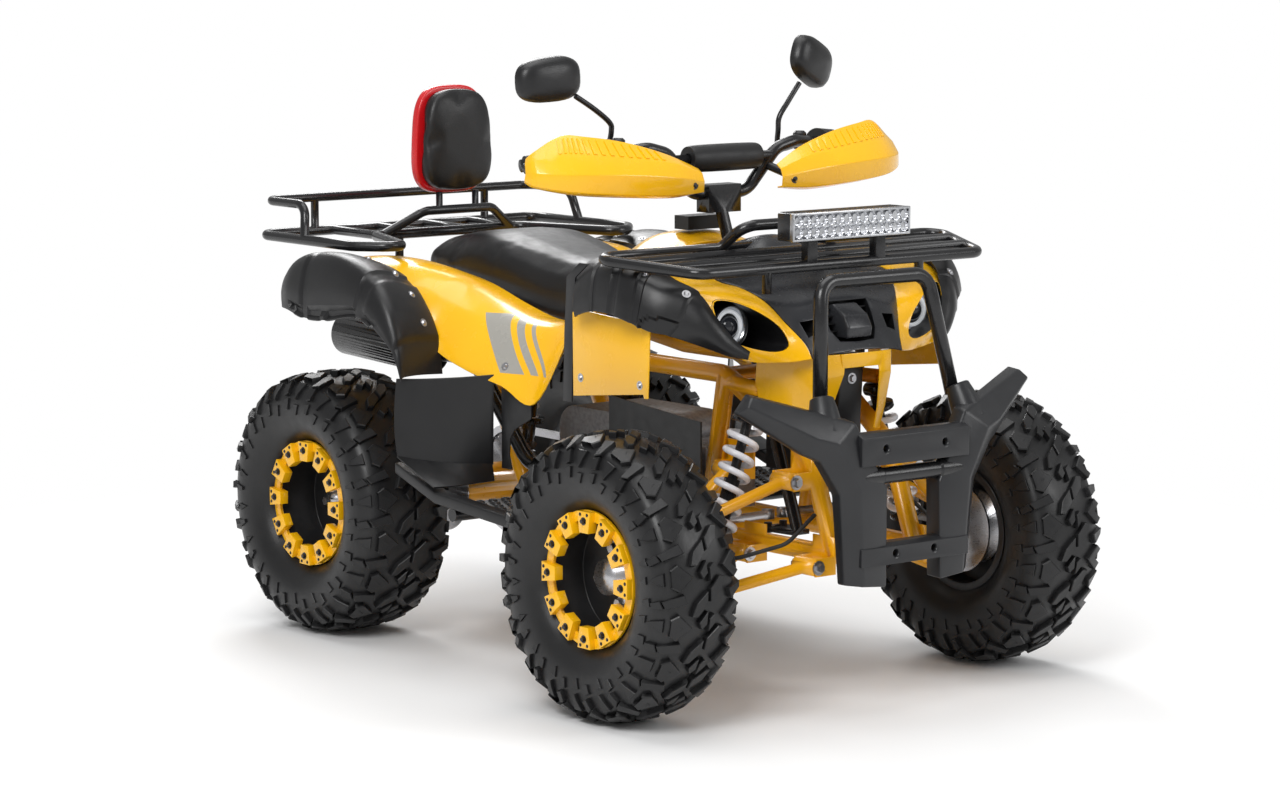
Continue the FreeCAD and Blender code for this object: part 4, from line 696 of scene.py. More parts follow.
# %% Springs
def spring_tree():
    """Sweeps a wire along a helix."""
    sizes = (("Base", "Geometry"), ("Turns", "Float"), ("Coil radius", "Float"), ("Wire radius", "Float"),
             ("Height", "Float"))
    tree, given, result = open_tree("coil_spring", sizes, "Spring")
    helix, wire, swept = (tree.nodes.new("GeometryNodeCurve" + kind)
                          for kind in ("Spiral", "PrimitiveCircle", "ToMesh"))
    helix.inputs["Resolution"].default_value = 40
    wire.inputs["Resolution"].default_value = 14
    swept.inputs["Fill Caps"].default_value = True
    return close_tree(tree, given, result, swept.outputs[0], (
        (given["Turns"], helix.inputs["Rotations"]), (given["Coil radius"], helix.inputs["Start Radius"]),
        (given["Coil radius"], helix.inputs["End Radius"]), (given["Height"], helix.inputs["Height"]),
        (given["Wire radius"], wire.inputs["Radius"]), (helix.outputs[0], swept.inputs["Curve"]),
        (wire.outputs[0], swept.inputs["Profile Curve"])))


coil = spring_tree()
SHOCKS = {
    "left": ((0.483, 0.136, 0.508), (0.483, 0.234, 0.2294)),
    "right": ((0.483, -0.136, 0.508), (0.483, -0.234, 0.2294)),
    "rear": ((-0.365, 0, 0.5652), (-0.3242, 0, 0.2944)),
}
SPRING_FROM, SPRING_TO, SEAT_GAP = 0.12, 0.78, 0.0043
SPRING_SIZES = {"Turns": 6.6, "Coil radius": 0.0240, "Wire radius": 0.0058, "Finish": spring_white}
for name, ends in SHOCKS.items():
    top, foot = (Vector(end) for end in ends)
    along = foot - top
    start = top + along * SPRING_FROM + along.normalized() * SEAT_GAP
    sizes = {**SPRING_SIZES, "Height": along.length * (SPRING_TO - SPRING_FROM) - 2 * SEAT_GAP}
    place = Matrix.Translation(start) @ along.to_track_quat("Z", "Y").to_matrix().to_4x4()
    grow("spring_" + name, bpy.data.meshes.new("base"), coil, sizes, "shock_springs", place=place)
print("springs", len(SHOCKS))

# %% [markdown]
# ## Lamps
# The headlight is a projector: a dark round lens with a white ring round it, in a bright bowl. The tail lamps keep
# their solid shape and are red.

# %% Headlights
HEADLIGHT = Vector((0.510, 0.207, 0.643))


def both_sides(place):
    """A place on the left and its partner on the right."""
    return [Vector(place), Vector((place[0], -place[1], place[2]))]


def turned(profile, place, steps=48):
    """Turn an open profile of (distance ahead, radius) round the X axis at a place."""
    shape = bmesh.new()
    rings = [[shape.verts.new((ahead, radius * c, radius * s)) for c, s in circle(steps if radius else 1)]
             for ahead, radius in profile]
    for ring, following in zip(rings, rings[1:]):
        for index in range(steps):
            after = (index + 1) % steps
            if len(following) == 1:
                shape.faces.new((ring[index], ring[after], following[0]))
            elif len(ring) == 1:
                shape.faces.new((ring[0], following[after], following[index]))
            else:
                shape.faces.new((ring[index], ring[after], following[after], following[index]))
    mesh = to_mesh(shape)
    mesh.transform(Matrix.Translation(place))
    return mesh


HEADLIGHT_PARTS = (
    ("bezel", black_plastic, 35, ((-0.040, 0.0), (-0.040, 0.037), (0.0, 0.037), (0.002, 0.0355), (0.0, 0.034),
                                  (-0.012, 0.033), (-0.014, 0.0))),
    ("bowl", bright_bowl, 35, ((-0.013, 0.0), (-0.013, 0.024), (-0.006, 0.0315), (-0.003, 0.0335),
                               (-0.010, 0.0337), (-0.0135, 0.026), (-0.0135, 0.0))),
    ("halo", halo_white, 60, ((-0.008, 0.0225), (-0.004, 0.0235), (-0.003, 0.0260), (-0.004, 0.0285),
                              (-0.008, 0.0295), (-0.008, 0.0225))),
    ("lens", dark_lens, 35, ((-0.013, 0.0), (-0.013, 0.0185), (-0.006, 0.0185), (-0.001, 0.0165),
                             (0.0035, 0.0115), (0.006, 0.006), (0.007, 0.0))),
)
for side, place in zip(("left", "right"), both_sides(HEADLIGHT)):
    for part, finish, smooth, profile in HEADLIGHT_PARTS:
        show("headlight_" + part + "_" + side, turned(profile, place), finish, "lamps", smooth)

# %% Tail lamps
tail = merged("lamps")
in_front = [face for face in tail.faces if face.calc_center_median().x > 0]
bmesh.ops.delete(tail, geom=in_front, context="FACES")
show("tail_lamps", to_mesh(tail, turn=False), tail_red, "lamps", 35)
print("lamp pieces", len(HEADLIGHT_PARTS) * 2 + 1)

# %% [markdown]
# ## Moulded panels
# The body is a set of thin plastic mouldings. Each is a few rows of points in millimetres, judged from the
# photograph, and a smooth surface through them is what a mould maker would cut. Solidify gives the wall, a boolean
# cuts openings and a small bevel rounds the rim. A table holds the left side only, and the right side mirrors it.

# %% Panel helpers
MM, WALL, RIM = 0.001, 0.003, 0.0008


def metres(row):
    """A row of points in millimetres, brought to metres."""
    return [Vector(point) * MM for point in row]


def smooth_net(rows, down, along):
    """A dense net through a few rows of points."""
    dense = [rounded(metres(row), along) for row in rows]
    columns = [rounded(column, down) for column in zip(*dense)]
    return [list(row) for row in zip(*columns)]


def whole_width(rows):
    """Rows over the whole width, from those of the left half that start at the middle."""
    return [[(x, -y, z) for x, y, z in reversed(row[1:])] + list(row) for row in rows]


def mirrored(points):
    """The same points on the right side."""
    return [Vector((x, -y, z)) for x, y, z in points]


def net_mesh(rows, outward):
    """Faces between the rows of a net, turned to the way that the panel faces."""
    shape = bmesh.new()
    grid = [[shape.verts.new(point) for point in row] for row in rows]
    for upper, lower in zip(grid, grid[1:]):
        for j in range(len(upper) - 1):
            shape.faces.new((upper[j], upper[j + 1], lower[j + 1], lower[j]))
    shape.normal_update()
    total = sum((face.normal * face.calc_area() for face in shape.faces), Vector())
    if total.dot(Vector(outward)) < 0:
        bmesh.ops.reverse_faces(shape, faces=shape.faces)
    return to_mesh(shape, turn=False)


def closed_mesh(rings):
    """A closed form through rings of points, which all have the same count."""
    shape = bmesh.new()
    made = [[shape.verts.new(point) for point in ring] for ring in rings]
    stitch(shape, made)
    shape.faces.new(made[0])
    shape.faces.new(made[-1])
    return to_mesh(shape)


def finish_mesh(mesh, wall=0.0, grow_out=-1, cutters=(), rim=RIM, rim_angle=50, segments=2):
    """Give a mesh its wall, its openings and its rounded edges, and return the plain result."""
    thing = linked("moulding", mesh)
    if wall:
        solid = thing.modifiers.new("wall", "SOLIDIFY")
        solid.thickness, solid.offset, solid.use_even_offset = wall, grow_out, True
    helpers = [linked("cutter", cutter) for cutter in cutters]
    for helper in helpers:
        cut = thing.modifiers.new("opening", "BOOLEAN")
        cut.operation, cut.solver, cut.object = "DIFFERENCE", "EXACT", helper
    if rim:
        edge = thing.modifiers.new("rim", "BEVEL")
        edge.width, edge.segments = rim, segments
        edge.limit_method, edge.angle_limit = "ANGLE", math.radians(rim_angle)
    return settled(thing, helpers)


def prism_x(outline, low, high):
    """An outline of (y, z), in millimetres, drawn out along the machine."""
    return closed_mesh([[Vector((x, y, z)) * MM for y, z in outline] for x in (low, high)])


def prism_y(outline, low, high):
    """An outline of (x, z), in millimetres, drawn out across the machine."""
    return closed_mesh([[Vector((x, y, z)) * MM for x, z in outline] for y in (low, high)])


def round_outline(points, steps=4):
    """A smooth closed outline through points."""
    wrapped = list(points[-1:]) + list(points) + list(points[:2])
    return [tuple(point) for point in rounded(wrapped, steps)[steps:steps * (len(points) + 1)]]


def pair(name, node, make, finish, smooth=32):
    """Make a piece for the left (side 1) and for the right (side -1)."""
    for tag, side in (("left", 1), ("right", -1)):
        show(name + "_" + tag, make(side), finish, node, smooth)


def on_side(rows, side):
    """Rows of the left side as they are, or brought to the right."""
    return rows if side > 0 else [mirrored(row) for row in rows]


def moulding(rows, outward, side, **edge):
    """A walled panel for one side from the rows of the left one."""
    return finish_mesh(net_mesh(on_side(rows, side), (outward[0], outward[1] * side, outward[2])), WALL, **edge)


def panel_pair(name, node, rows, outward, finish, smooth=32, **edge):
    """A walled panel on each side."""
    pair(name, node, lambda side: moulding(rows, outward, side, **edge), finish, smooth)


# %% [markdown]
# ## Front fenders and their lamp recesses
# Each front fender runs down and round the headlight in one piece, with a dark tub behind the opening. The opening
# is cut through the moulding, and rays against the uncut surface start the tub's walls exactly on its face.

# %% Front fenders
FENDER = (
    ((250, 112, 752), (250, 165, 754), (250, 220, 752), (252, 265, 746), (256, 298, 730)),
    ((345, 150, 740), (346, 195, 743), (348, 235, 742), (352, 272, 739), (357, 298, 732)),
    ((446, 187, 715), (450, 215, 717), (454, 245, 717), (457, 272, 716), (460, 293, 708)),
    ((490, 168, 704), (497, 200, 706), (502, 230, 704), (503, 255, 699), (499, 274, 686)),
    ((526, 146, 682), (546, 176, 676), (541, 212, 680), (527, 248, 682), (513, 264, 668)),
    ((552, 128, 651), (568, 146, 640), (560, 192, 641), (545, 236, 641), (529, 256, 640)),
    ((581, 107, 615), (574, 138, 606), (562, 180, 603), (549, 215, 610), (541, 234, 614)),
    ((594, 102, 590), (580, 130, 586), (563, 162, 585), (553, 190, 587), (552, 212, 592)),
)
RECESS = ((252, 688), (222, 688), (188, 673), (150, 646), (134, 618), (142, 606), (168, 604), (212, 615), (240, 630),
          (252, 655))
CUT_FROM, CUT_TO = 440, 680
fender_net = smooth_net(FENDER, 7, 6)
recess = round_outline(RECESS)


def fender(side):
    cutter = prism_x([(side * y, z) for y, z in recess], CUT_FROM, CUT_TO)
    return moulding(fender_net, (0.3, 0, 1), side, cutters=[cutter])


pair("front_fender", "body_front", fender, panel_yellow)

# %% Tubs behind openings
AHEAD, TUB_INSET, TUB_WALL, TUB_NARROWS = 0.9, 0.0015, 0.002, 0.97


def surface_tree(rows):
    """The panel's face before anything is cut, for rays."""
    mesh = net_mesh(rows, (0, 0, 1))
    faces = [list(face.vertices) for face in mesh.polygons]
    tree = BVHTree.FromPolygons([vertex.co for vertex in mesh.vertices], faces)
    bpy.data.meshes.remove(mesh)
    return tree


def tub(outline, tree, back, fallback):
    """A tub behind an opening: its walls start on the panel's face and end on a flat back."""
    front, rear = [], []
    for y, z in outline:
        place = tree.ray_cast(Vector((AHEAD, y * MM, z * MM)), Vector((-1, 0, 0)))[0]
        front.append(Vector((place.x - TUB_INSET if place else fallback * MM, y * MM, z * MM)))
        rear.append(Vector((back * MM, y * MM, z * MM)))
    middle = sum(rear, Vector()) / len(rear)
    halfway = [a.lerp(b, 0.5) for a, b in zip(front, rear)]
    floor_ring = [middle + (point - middle) * TUB_NARROWS for point in rear]
    shape = bmesh.new()
    rings = [[shape.verts.new(point) for point in ring] for ring in (front, halfway, floor_ring)]
    stitch(shape, rings)
    shape.faces.new(rings[-1])
    return finish_mesh(to_mesh(shape), TUB_WALL, 1, rim=0)


left_tub = tub(recess, surface_tree(fender_net), 462, 540)
right_tub = left_tub.copy()
right_tub.transform(Matrix.Scale(-1, 4, (0, 1, 0)))
right_tub.flip_normals()
show("headlight_tub_left", left_tub, black_plastic, "body_front", 40)
show("headlight_tub_right", right_tub, black_plastic, "body_front", 40)

# %% [markdown]
# ## Flaps, cheeks and strut
# A flat yellow flap hangs beside each front wheel. Under the nose two folded cheeks sweep back to the frame, tied
# by a band at the top, and a black strut stands between them with one bolt.

# %% Flaps, cheeks and strut
FLAP = ((247, 662), (456, 650), (450, 527), (441, 526), (438, 533), (249, 512))
CHEEK = (
    ((604, 34, 594), (598, 72, 594), (556, 108, 594), (500, 142, 594)),
    ((606, 40, 560), (598, 72, 556), (552, 108, 548), (496, 142, 545)),
    ((588, 52, 500), (584, 72, 498), (548, 104, 492), (500, 132, 488)),
    ((574, 56, 458), (572, 70, 456), (546, 96, 454), (508, 124, 452)),
)
FLAP_IN, FLAP_OUT = 333, 336.5
BAND = ((-42, 570), (42, 570), (46, 594), (-46, 594))
STRUT = ((548, 440), (572, 440), (580, 560), (572, 590), (548, 590))
STRUT_BOLT = (Vector((0.5795, 0.0, 0.548)), Vector((1, 0, 0)))


def flap(side):
    return finish_mesh(prism_y(FLAP, side * FLAP_IN, side * FLAP_OUT), rim=0.0012)


pair("front_flap", "body_front", flap, panel_yellow)
cheek_rows = [metres(row) for row in CHEEK]
panel_pair("front_cheek", "body_front", cheek_rows, (1, 0, 0), panel_yellow, 30, rim=0.0025, rim_angle=9, segments=3)
show("front_band", finish_mesh(prism_x(BAND, 602, 605), rim=0.001), panel_yellow, "body_front", 30)
strut = finish_mesh(prism_y(STRUT, -27, 27), rim=0.004, segments=3)
show("front_strut", strut, black_plastic, "body_front", 30)
fasten("strut_bolt", [STRUT_BOLT], hex_tree, 0.0065, 0.006, bare_steel)

# %% [markdown]
# ## Flares
# The black flares over the wheels are moulded in raised bands with narrow grooves between them. The bands are
# lifted along the normals of the net itself, so that the grooves follow the curve of the flare.

# %% Flares
FRONT_FLARE = (
    ((262, 286, 744), (263, 322, 734), (266, 345, 704), (275, 357, 674), (283, 360, 651)),
    ((320, 288, 748), (321, 328, 747), (325, 352, 730), (327, 361, 697), (331, 365, 664)),
    ((372, 288, 744), (375, 330, 745), (379, 354, 734), (379, 363, 701), (377, 366, 666)),
    ((416, 287, 736), (421, 326, 737), (428, 348, 728), (432, 360, 695), (431, 365, 657)),
    ((459, 284, 720), (466, 314, 719), (474, 331, 705), (475, 343, 673), (466, 348, 641)),
    ((503, 266, 700), (507, 286, 697), (509, 299, 683), (506, 310, 657), (492, 323, 634)),
    ((528, 252, 664), (533, 266, 661), (535, 276, 651), (532, 282, 635), (520, 281, 617)),
    ((549, 230, 627), (552, 240, 625), (554, 246, 618), (554, 247, 608), (549, 243, 600)),
    ((563, 209, 607), (566, 213, 605), (568, 216, 602), (568, 217, 598), (565, 216, 594)),
)
REAR_FLARE = (
    ((-572, 290, 654), (-572, 335, 660), (-568, 372, 652), (-560, 390, 628), (-548, 397, 600)),
    ((-520, 291, 681), (-522, 345, 689), (-522, 384, 681), (-520, 401, 642), (-515, 404, 598)),
    ((-463, 292, 688), (-463, 348, 701), (-462, 388, 695), (-462, 405, 641), (-460, 407, 588)),
    ((-380, 292, 684), (-377, 350, 701), (-372, 390, 699), (-376, 406, 651), (-388, 408, 590)),
    ((-292, 292, 660), (-284, 350, 676), (-275, 390, 672), (-282, 405, 641), (-292, 407, 603)),
    ((-238, 291, 613), (-226, 348, 625), (-217, 388, 622), (-221, 402, 600), (-232, 404, 575)),
    ((-204, 290, 556), (-196, 344, 560), (-188, 384, 558), (-189, 396, 549), (-192, 398, 538)),
    ((-194, 290, 502), (-186, 342, 505), (-178, 382, 505), (-176, 392, 502), (-176, 395, 498)),
)
FRONT_BANDS = ((0.02, 0.14), (0.17, 0.27), (0.30, 0.40), (0.43, 0.62))
REAR_BANDS = ((0.03, 0.27), (0.31, 0.56), (0.60, 0.84))
BAND_RISE, BAND_EASE = 0.0035, 0.006


def banded(rows, bands):
    """Raise bands of a net, so that narrow grooves stay between them."""
    last, result = len(rows) - 1, []
    for i, row in enumerate(rows):
        inside = max(min(i / last - start, end - i / last) for start, end in bands)
        lift = BAND_RISE * min(max(inside / BAND_EASE, 0.0), 1.0)
        before, after = rows[max(i - 1, 0)], rows[min(i + 1, last)]
        moved = []
        for j, point in enumerate(row):
            across = row[min(j + 1, len(row) - 1)] - row[max(j - 1, 0)]
            out = (after[j] - before[j]).cross(across)
            moved.append(point - out.normalized() * lift * (1 if out.z < 0 else -1))
        result.append(moved)
    return result


front_flare_net = banded(smooth_net(FRONT_FLARE, 14, 6), FRONT_BANDS)
rear_flare_net = banded(smooth_net(REAR_FLARE, 14, 6), REAR_BANDS)
panel_pair("front_flare", "flares_front", front_flare_net, (0, 1, 1), black_plastic, 28)
panel_pair("rear_flare", "flares_rear", rear_flare_net, (0, 1, 1), black_plastic, 28)
print("flares, rows", len(front_flare_net), len(rear_flare_net))

# %% [markdown]
# ## Rear fenders, tank cover, hood and nose
# The rear fender carries the stripes. Tank cover and nose cross the middle of the machine, so their rows start
# there and are mirrored to the whole width. The nose has a scoop with blades and two small slots, left open.

# %% Rear fenders and tank cover
REAR_FENDER = (
    ((-640, 138, 648), (-640, 190, 656), (-640, 245, 655), (-636, 296, 640)),
    ((-520, 139, 662), (-520, 195, 679), (-520, 250, 684), (-520, 300, 670)),
    ((-420, 139, 668), (-420, 195, 688), (-420, 252, 693), (-420, 301, 674)),
    ((-330, 139, 664), (-330, 197, 683), (-328, 254, 682), (-326, 301, 651)),
    ((-262, 140, 655), (-262, 200, 667), (-258, 256, 652), (-254, 300, 604)),
    ((-215, 141, 645), (-215, 202, 646), (-211, 252, 618), (-208, 298, 547)),
    ((-130, 142, 622), (-130, 198, 618), (-128, 238, 592), (-126, 288, 515)),
    ((-40, 142, 604), (-40, 190, 604), (-40, 226, 578), (-40, 274, 494)),
    ((40, 142, 608), (40, 184, 608), (40, 214, 580), (40, 262, 470)),
    ((125, 142, 640), (125, 178, 640), (125, 208, 628), (125, 256, 592)),
)
TANK_COVER = (
    ((60, 0, 738), (60, 50, 733), (60, 92, 712), (60, 125, 692)),
    ((115, 0, 764), (115, 55, 759), (115, 100, 735), (115, 132, 704)),
    ((175, 0, 769), (175, 58, 764), (175, 104, 742), (175, 137, 712)),
    ((232, 0, 756), (232, 60, 753), (232, 104, 740), (232, 132, 722)),
)
panel_pair("rear_fender", "body_rear", smooth_net(REAR_FENDER, 7, 7), (0, 1, 1), side_yellow)
tank_net = smooth_net(whole_width(TANK_COVER), 7, 6)
show("tank_cover_panel", finish_mesh(net_mesh(tank_net, (0, 0, 1)), WALL), panel_yellow, "tank_cover")

# %% Hood and nose
NOSE = (
    ((300, 0, 752), (300, 45, 750), (300, 85, 746), (300, 110, 742)),
    ((345, 0, 772), (345, 40, 768), (345, 82, 752), (345, 148, 740)),
    ((380, 0, 773), (382, 32, 768), (388, 82, 748), (395, 168, 728)),
    ((430, 0, 740), (432, 46, 737), (438, 104, 728), (446, 185, 715)),
    ((490, 0, 713), (489, 50, 712), (489, 110, 708), (490, 166, 704)),
    ((548, 0, 685), (549, 50, 683), (544, 96, 678), (527, 144, 682)),
    ((566, 0, 660), (567, 50, 658), (564, 96, 655), (553, 126, 651)),
    ((584, 0, 630), (585, 48, 627), (583, 84, 622), (582, 105, 615)),
    ((603, 0, 600), (603, 46, 598), (598, 76, 595), (595, 100, 590)),
)
SCOOP = ((-52, 678), (52, 678), (53, 655), (50, 632), (38, 614), (0, 612), (-38, 614), (-50, 632), (-53, 655))
SLOT = ((76, 652), (104, 649), (97, 623), (78, 630))
SCOOP_BLOCK = ((520, 668), (560, 674), (590, 656), (602, 636), (599, 619), (560, 617), (520, 630))
BLADES, BLADE_LOW, BLADE_STEP, BLADE_BACK, BLADE_TIP, BLADE_HALF = 4, 626, 12, 530, 574, 51
NOSE_BACK = 524
nose_net = smooth_net(whole_width(NOSE), 8, 5)
nose_openings = {"scoop": SCOOP, "slot_left": SLOT, "slot_right": [(-y, z) for y, z in SLOT]}
cutters = [prism_x(outline, 510, 700) for outline in nose_openings.values()]
show("nose_panel", finish_mesh(net_mesh(nose_net, (0.5, 0, 1)), WALL, cutters=cutters), nose_grey, "nose", 34)
nose_surface = surface_tree(nose_net)
for name, outline in nose_openings.items():
    show("nose_" + name + "_tub", tub(outline, nose_surface, NOSE_BACK, 560), black_plastic, "nose", 30)
block = finish_mesh(prism_y(SCOOP_BLOCK, -27, 27), rim=0.004, rim_angle=20, segments=3)
show("scoop_block", block, nose_grey, "nose", 34)
blades = bmesh.new()
for index in range(BLADES):
    z, tip = BLADE_LOW + index * BLADE_STEP, BLADE_TIP - index * 6
    outline = ((BLADE_BACK, z), (tip, z + 2), (tip, z + 4), (BLADE_BACK, z + 2))
    blades.from_mesh(finish_mesh(prism_y(outline, -BLADE_HALF, BLADE_HALF), rim=0))
show("scoop_blades", to_mesh(blades), black_plastic, "nose", 30)

# %% [markdown]
# ## Guards behind the feet
# A black shield stands between the foot and the rear wheel, with a ledge below and a flat bracket in front of it.
# A strap runs from the front flare down to the side.

# %% Guards behind the feet
GUARD = (
    ((-202, 386, 500), (-162, 360, 502), (-112, 316, 506), (-64, 272, 512)),
    ((-203, 390, 452), (-160, 362, 452), (-110, 316, 452), (-68, 270, 452)),
    ((-200, 392, 402), (-158, 362, 400), (-110, 316, 400), (-74, 266, 400)),
    ((-192, 392, 360), (-152, 360, 354), (-112, 318, 350), (-80, 262, 348)),
)
GUARD_LEDGE = (
    ((-192, 393, 363), (-152, 362, 357), (-112, 320, 353), (-80, 264, 351)),
    ((-75, 396, 322), (-74, 362, 320), (-74, 318, 320), (-76, 262, 320)),
)
BRACKET = ((-57, 488), (30, 468), (30, 442), (-18, 418), (-32, 400), (-35, 372), (-28, 345), (-57, 345))
BRACKET_IN, BRACKET_OUT, STRAP_HALF, STRAP_THICK = 258, 261, 12, 3
STRAP = ((298, 742, 348), (262, 716, 348), (240, 660, 334), (232, 620, 330), (228, 500, 330))
ledge_rows = [metres(row) for row in GUARD_LEDGE]


def bracket(side):
    return finish_mesh(prism_y(BRACKET, side * BRACKET_IN, side * BRACKET_OUT))


def strap(side):
    """The flat strap: stations of (x, z, distance from the middle)."""
    corners = ((-STRAP_HALF, 0), (STRAP_HALF, 0), (STRAP_HALF, STRAP_THICK), (-STRAP_HALF, STRAP_THICK))
    rings = [[Vector((x + dx, side * (y + dy), z)) * MM for dx, dy in corners] for x, z, y in STRAP]
    return finish_mesh(closed_mesh(rings), rim=0.0006)


panel_pair("foot_guard", "footwells", smooth_net(GUARD, 6, 6), (1, 1, 0), black_plastic)
panel_pair("foot_guard_ledge", "footwells", ledge_rows, (0, 0, 1), black_plastic)
pair("foot_bracket", "footwells", bracket, black_plastic)
pair("flap_strap", "flares_front", strap, black_plastic)

# %% [markdown]
# ## Hand guards
# A hand guard is a moulded shell with a front ridge and a louvred top face; its sections run from the inner end to
# the outer end. Two short arms hold it, each from the guard to the closest point of the handlebar.

# %% Hand guards
GUARD_SECTIONS = (
    ((282, 88, 846), (296, 88, 848), (298, 88, 866), (292, 88, 880), (280, 88, 888)),
    ((284, 150, 840), (304, 150, 846), (307, 150, 876), (292, 150, 900), (268, 150, 915)),
    ((280, 235, 844), (304, 235, 850), (306, 235, 884), (288, 235, 908), (258, 232, 938)),
    ((264, 322, 850), (290, 324, 856), (292, 322, 888), (274, 318, 916), (246, 308, 950)),
    ((246, 368, 857), (270, 374, 862), (272, 372, 890), (256, 364, 918), (234, 352, 952)),
    ((224, 402, 866), (242, 410, 870), (244, 408, 892), (232, 404, 912), (218, 396, 926)),
    ((208, 408, 874), (216, 414, 878), (218, 413, 892), (212, 410, 906), (206, 404, 914)),
)
LOUVRES, FIRST_LOUVRE, LOUVRE_RISE, LOUVRE_ROOT = 15, 6, 0.0016, -0.001
LOUVRE_CORNERS = ((0, 0.16, 0.0), (0, 0.84, 0.25), (1, 0.84, -0.3), (1, 0.16, -0.55))
GUARD_ARMS = (("inner", (0.288, 0.112, 0.868)), ("outer", (0.216, 0.398, 0.893)))
guard_columns = [rounded(column, 5) for column in zip(*[metres(row) for row in GUARD_SECTIONS])]
guard_sections = [list(row) for row in zip(*guard_columns)]


def guard_louvres(side):
    """Raised slanting bars on the top face of a guard."""
    joined = bmesh.new()
    for number in range(FIRST_LOUVRE, FIRST_LOUVRE + LOUVRES):
        ends = near, far = guard_sections[number], guard_sections[number + 1]
        across = far[3] - near[3]
        rings = []
        for lift in (LOUVRE_ROOT, LOUVRE_RISE):
            ring = []
            for end, share, step in LOUVRE_CORNERS:
                low, high = ends[end][3], ends[end][4]
                normal = across.cross(high - low).normalized()
                ring.append(low.lerp(high, share) + across * step + normal * lift * (1 if normal.x > 0 else -1))
            rings.append(ring if side > 0 else mirrored(ring))
        bar = closed_mesh(rings)
        joined.from_mesh(bar)
        bpy.data.meshes.remove(bar)
    return to_mesh(joined)


def swept(points, radius, sides=14, steps=5):
    """A round tube along a smooth path."""
    path = rounded(points, steps)
    rings, side = [], Vector((0, 0, 1))
    for index, place in enumerate(path):
        along = (path[min(index + 1, len(path) - 1)] - path[max(index - 1, 0)]).normalized()
        if abs(side.dot(along)) < 0.99:
            side = (side - along * side.dot(along)).normalized()
        else:
            side = along.orthogonal().normalized()
        other = along.cross(side)
        rings.append([place + (side * c + other * s) * radius for c, s in circle(sides)])
    return closed_mesh(rings)


panel_pair("hand_guard", "hand_guards", guard_sections, (1, 0.3, 0.5), panel_yellow, 26,
           rim=0.0032, rim_angle=13, segments=3)
pair("hand_guard_louvres", "hand_guards", guard_louvres, panel_yellow, 26)
for end, place in GUARD_ARMS:
    for tag, start in zip(("left", "right"), both_sides(place)):
        holder = nearest("handlebar", start)
        arm = swept([start, holder.lerp(start, 0.45), holder], 0.0075)
        show("guard_arm_" + end + "_" + tag, arm, black_plastic, "hand_guards", 40)
guard_screws = [(place, Vector((1, 0, 0.1))) for place in both_sides((0.300, 0.113, 0.862))]
fasten("guard_screws", guard_screws, pan_tree, 0.0055, 0.004, black_steel, "steering")

# %% [markdown]
# ## Mirrors
# A mirror is a domed head with a flat glass at the back, on a bent stem with a clamp at its foot. The head is a
# stack of rounded squares, because that outline stays even from the rim to the dome.

# %% Mirrors
HEAD_RINGS = ((-0.008, 0.90), (-0.011, 0.95), (-0.010, 0.995), (-0.003, 1.0), (0.006, 0.965), (0.013, 0.85),
              (0.018, 0.6), (0.020, 0.3), (0.0205, 0.05))
HEAD_POWER, HEAD_STEPS, HEAD_SKEW = 2 / 2.9, 40, 0.05
CLAMP_RINGS = ((-0.010, 0.010), (0.002, 0.012), (0.018, 0.012), (0.022, 0.008))


def rounded_square(steps, power):
    """The steps round a square with rounded corners, of half size 1."""
    return [(math.copysign(abs(c) ** power, c), math.copysign(abs(s) ** power, s)) for c, s in circle(steps)]


def mirror_head(centre, width, height, turn, roll):
    """The head and its glass: rings from the rim at the back to the dome in front."""
    place = Matrix.Translation(centre) @ Matrix.Rotation(turn, 4, "Z") @ Matrix.Rotation(roll, 4, "X")
    rings = []
    for ahead, share in HEAD_RINGS:
        ring = []
        for c, s in rounded_square(HEAD_STEPS, HEAD_POWER):
            y, z = c * width / 2 * share, s * height / 2 * share
            ring.append(place @ Vector((ahead, y, z + HEAD_SKEW * y * z / height)))
        rings.append(ring)
    glass = [[place @ (place.inverted() @ point + Vector((ahead, 0, 0))) for point in rings[0]]
             for ahead in (0.0005, -0.0005)]
    return closed_mesh(rings), closed_mesh(glass)


MIRRORS = (
    ("right", (0.186, -0.338, 1.044), 0.130, 0.077, 0.0, 0.06,
     ((0.180, -0.203, 0.925), (0.182, -0.201, 0.950), (0.184, -0.206, 0.966), (0.186, -0.240, 0.990),
      (0.184, -0.280, 1.014))),
    ("left", (0.180, 0.255, 1.058), 0.118, 0.080, 0.32, -0.42,
     ((0.178, 0.181, 0.905), (0.178, 0.179, 0.940), (0.179, 0.181, 0.962), (0.180, 0.200, 0.988),
      (0.178, 0.228, 1.020))),
)
for tag, centre, width, height, turn, roll, stem in MIRRORS:
    head, glass = mirror_head(Vector(centre), width, height, turn, roll)
    show("mirror_head_" + tag, head, black_plastic, "mirrors", 50)
    show("mirror_glass_" + tag, glass, mirror_glass, "mirrors", 30)
    foot = nearest("handlebar", stem[0])
    tube = swept([foot] + [Vector(point) for point in stem], 0.0048)
    show("mirror_stem_" + tag, tube, black_steel, "mirrors", 50)
    clamp = [[foot + Vector((radius * c, radius * s, z)) for c, s in circle(20)] for z, radius in CLAMP_RINGS]
    show("mirror_clamp_" + tag, closed_mesh(clamp), black_plastic, "mirrors", 40)
print("mirrors", len(MIRRORS))

# %% [markdown]
# ## Lamp bar
# The lamp bar is a black housing with a bright frame round two rows of reflector cups, each with a small pale chip
# in it. Fins on top carry its heat away, and two feet stand it on the rack.

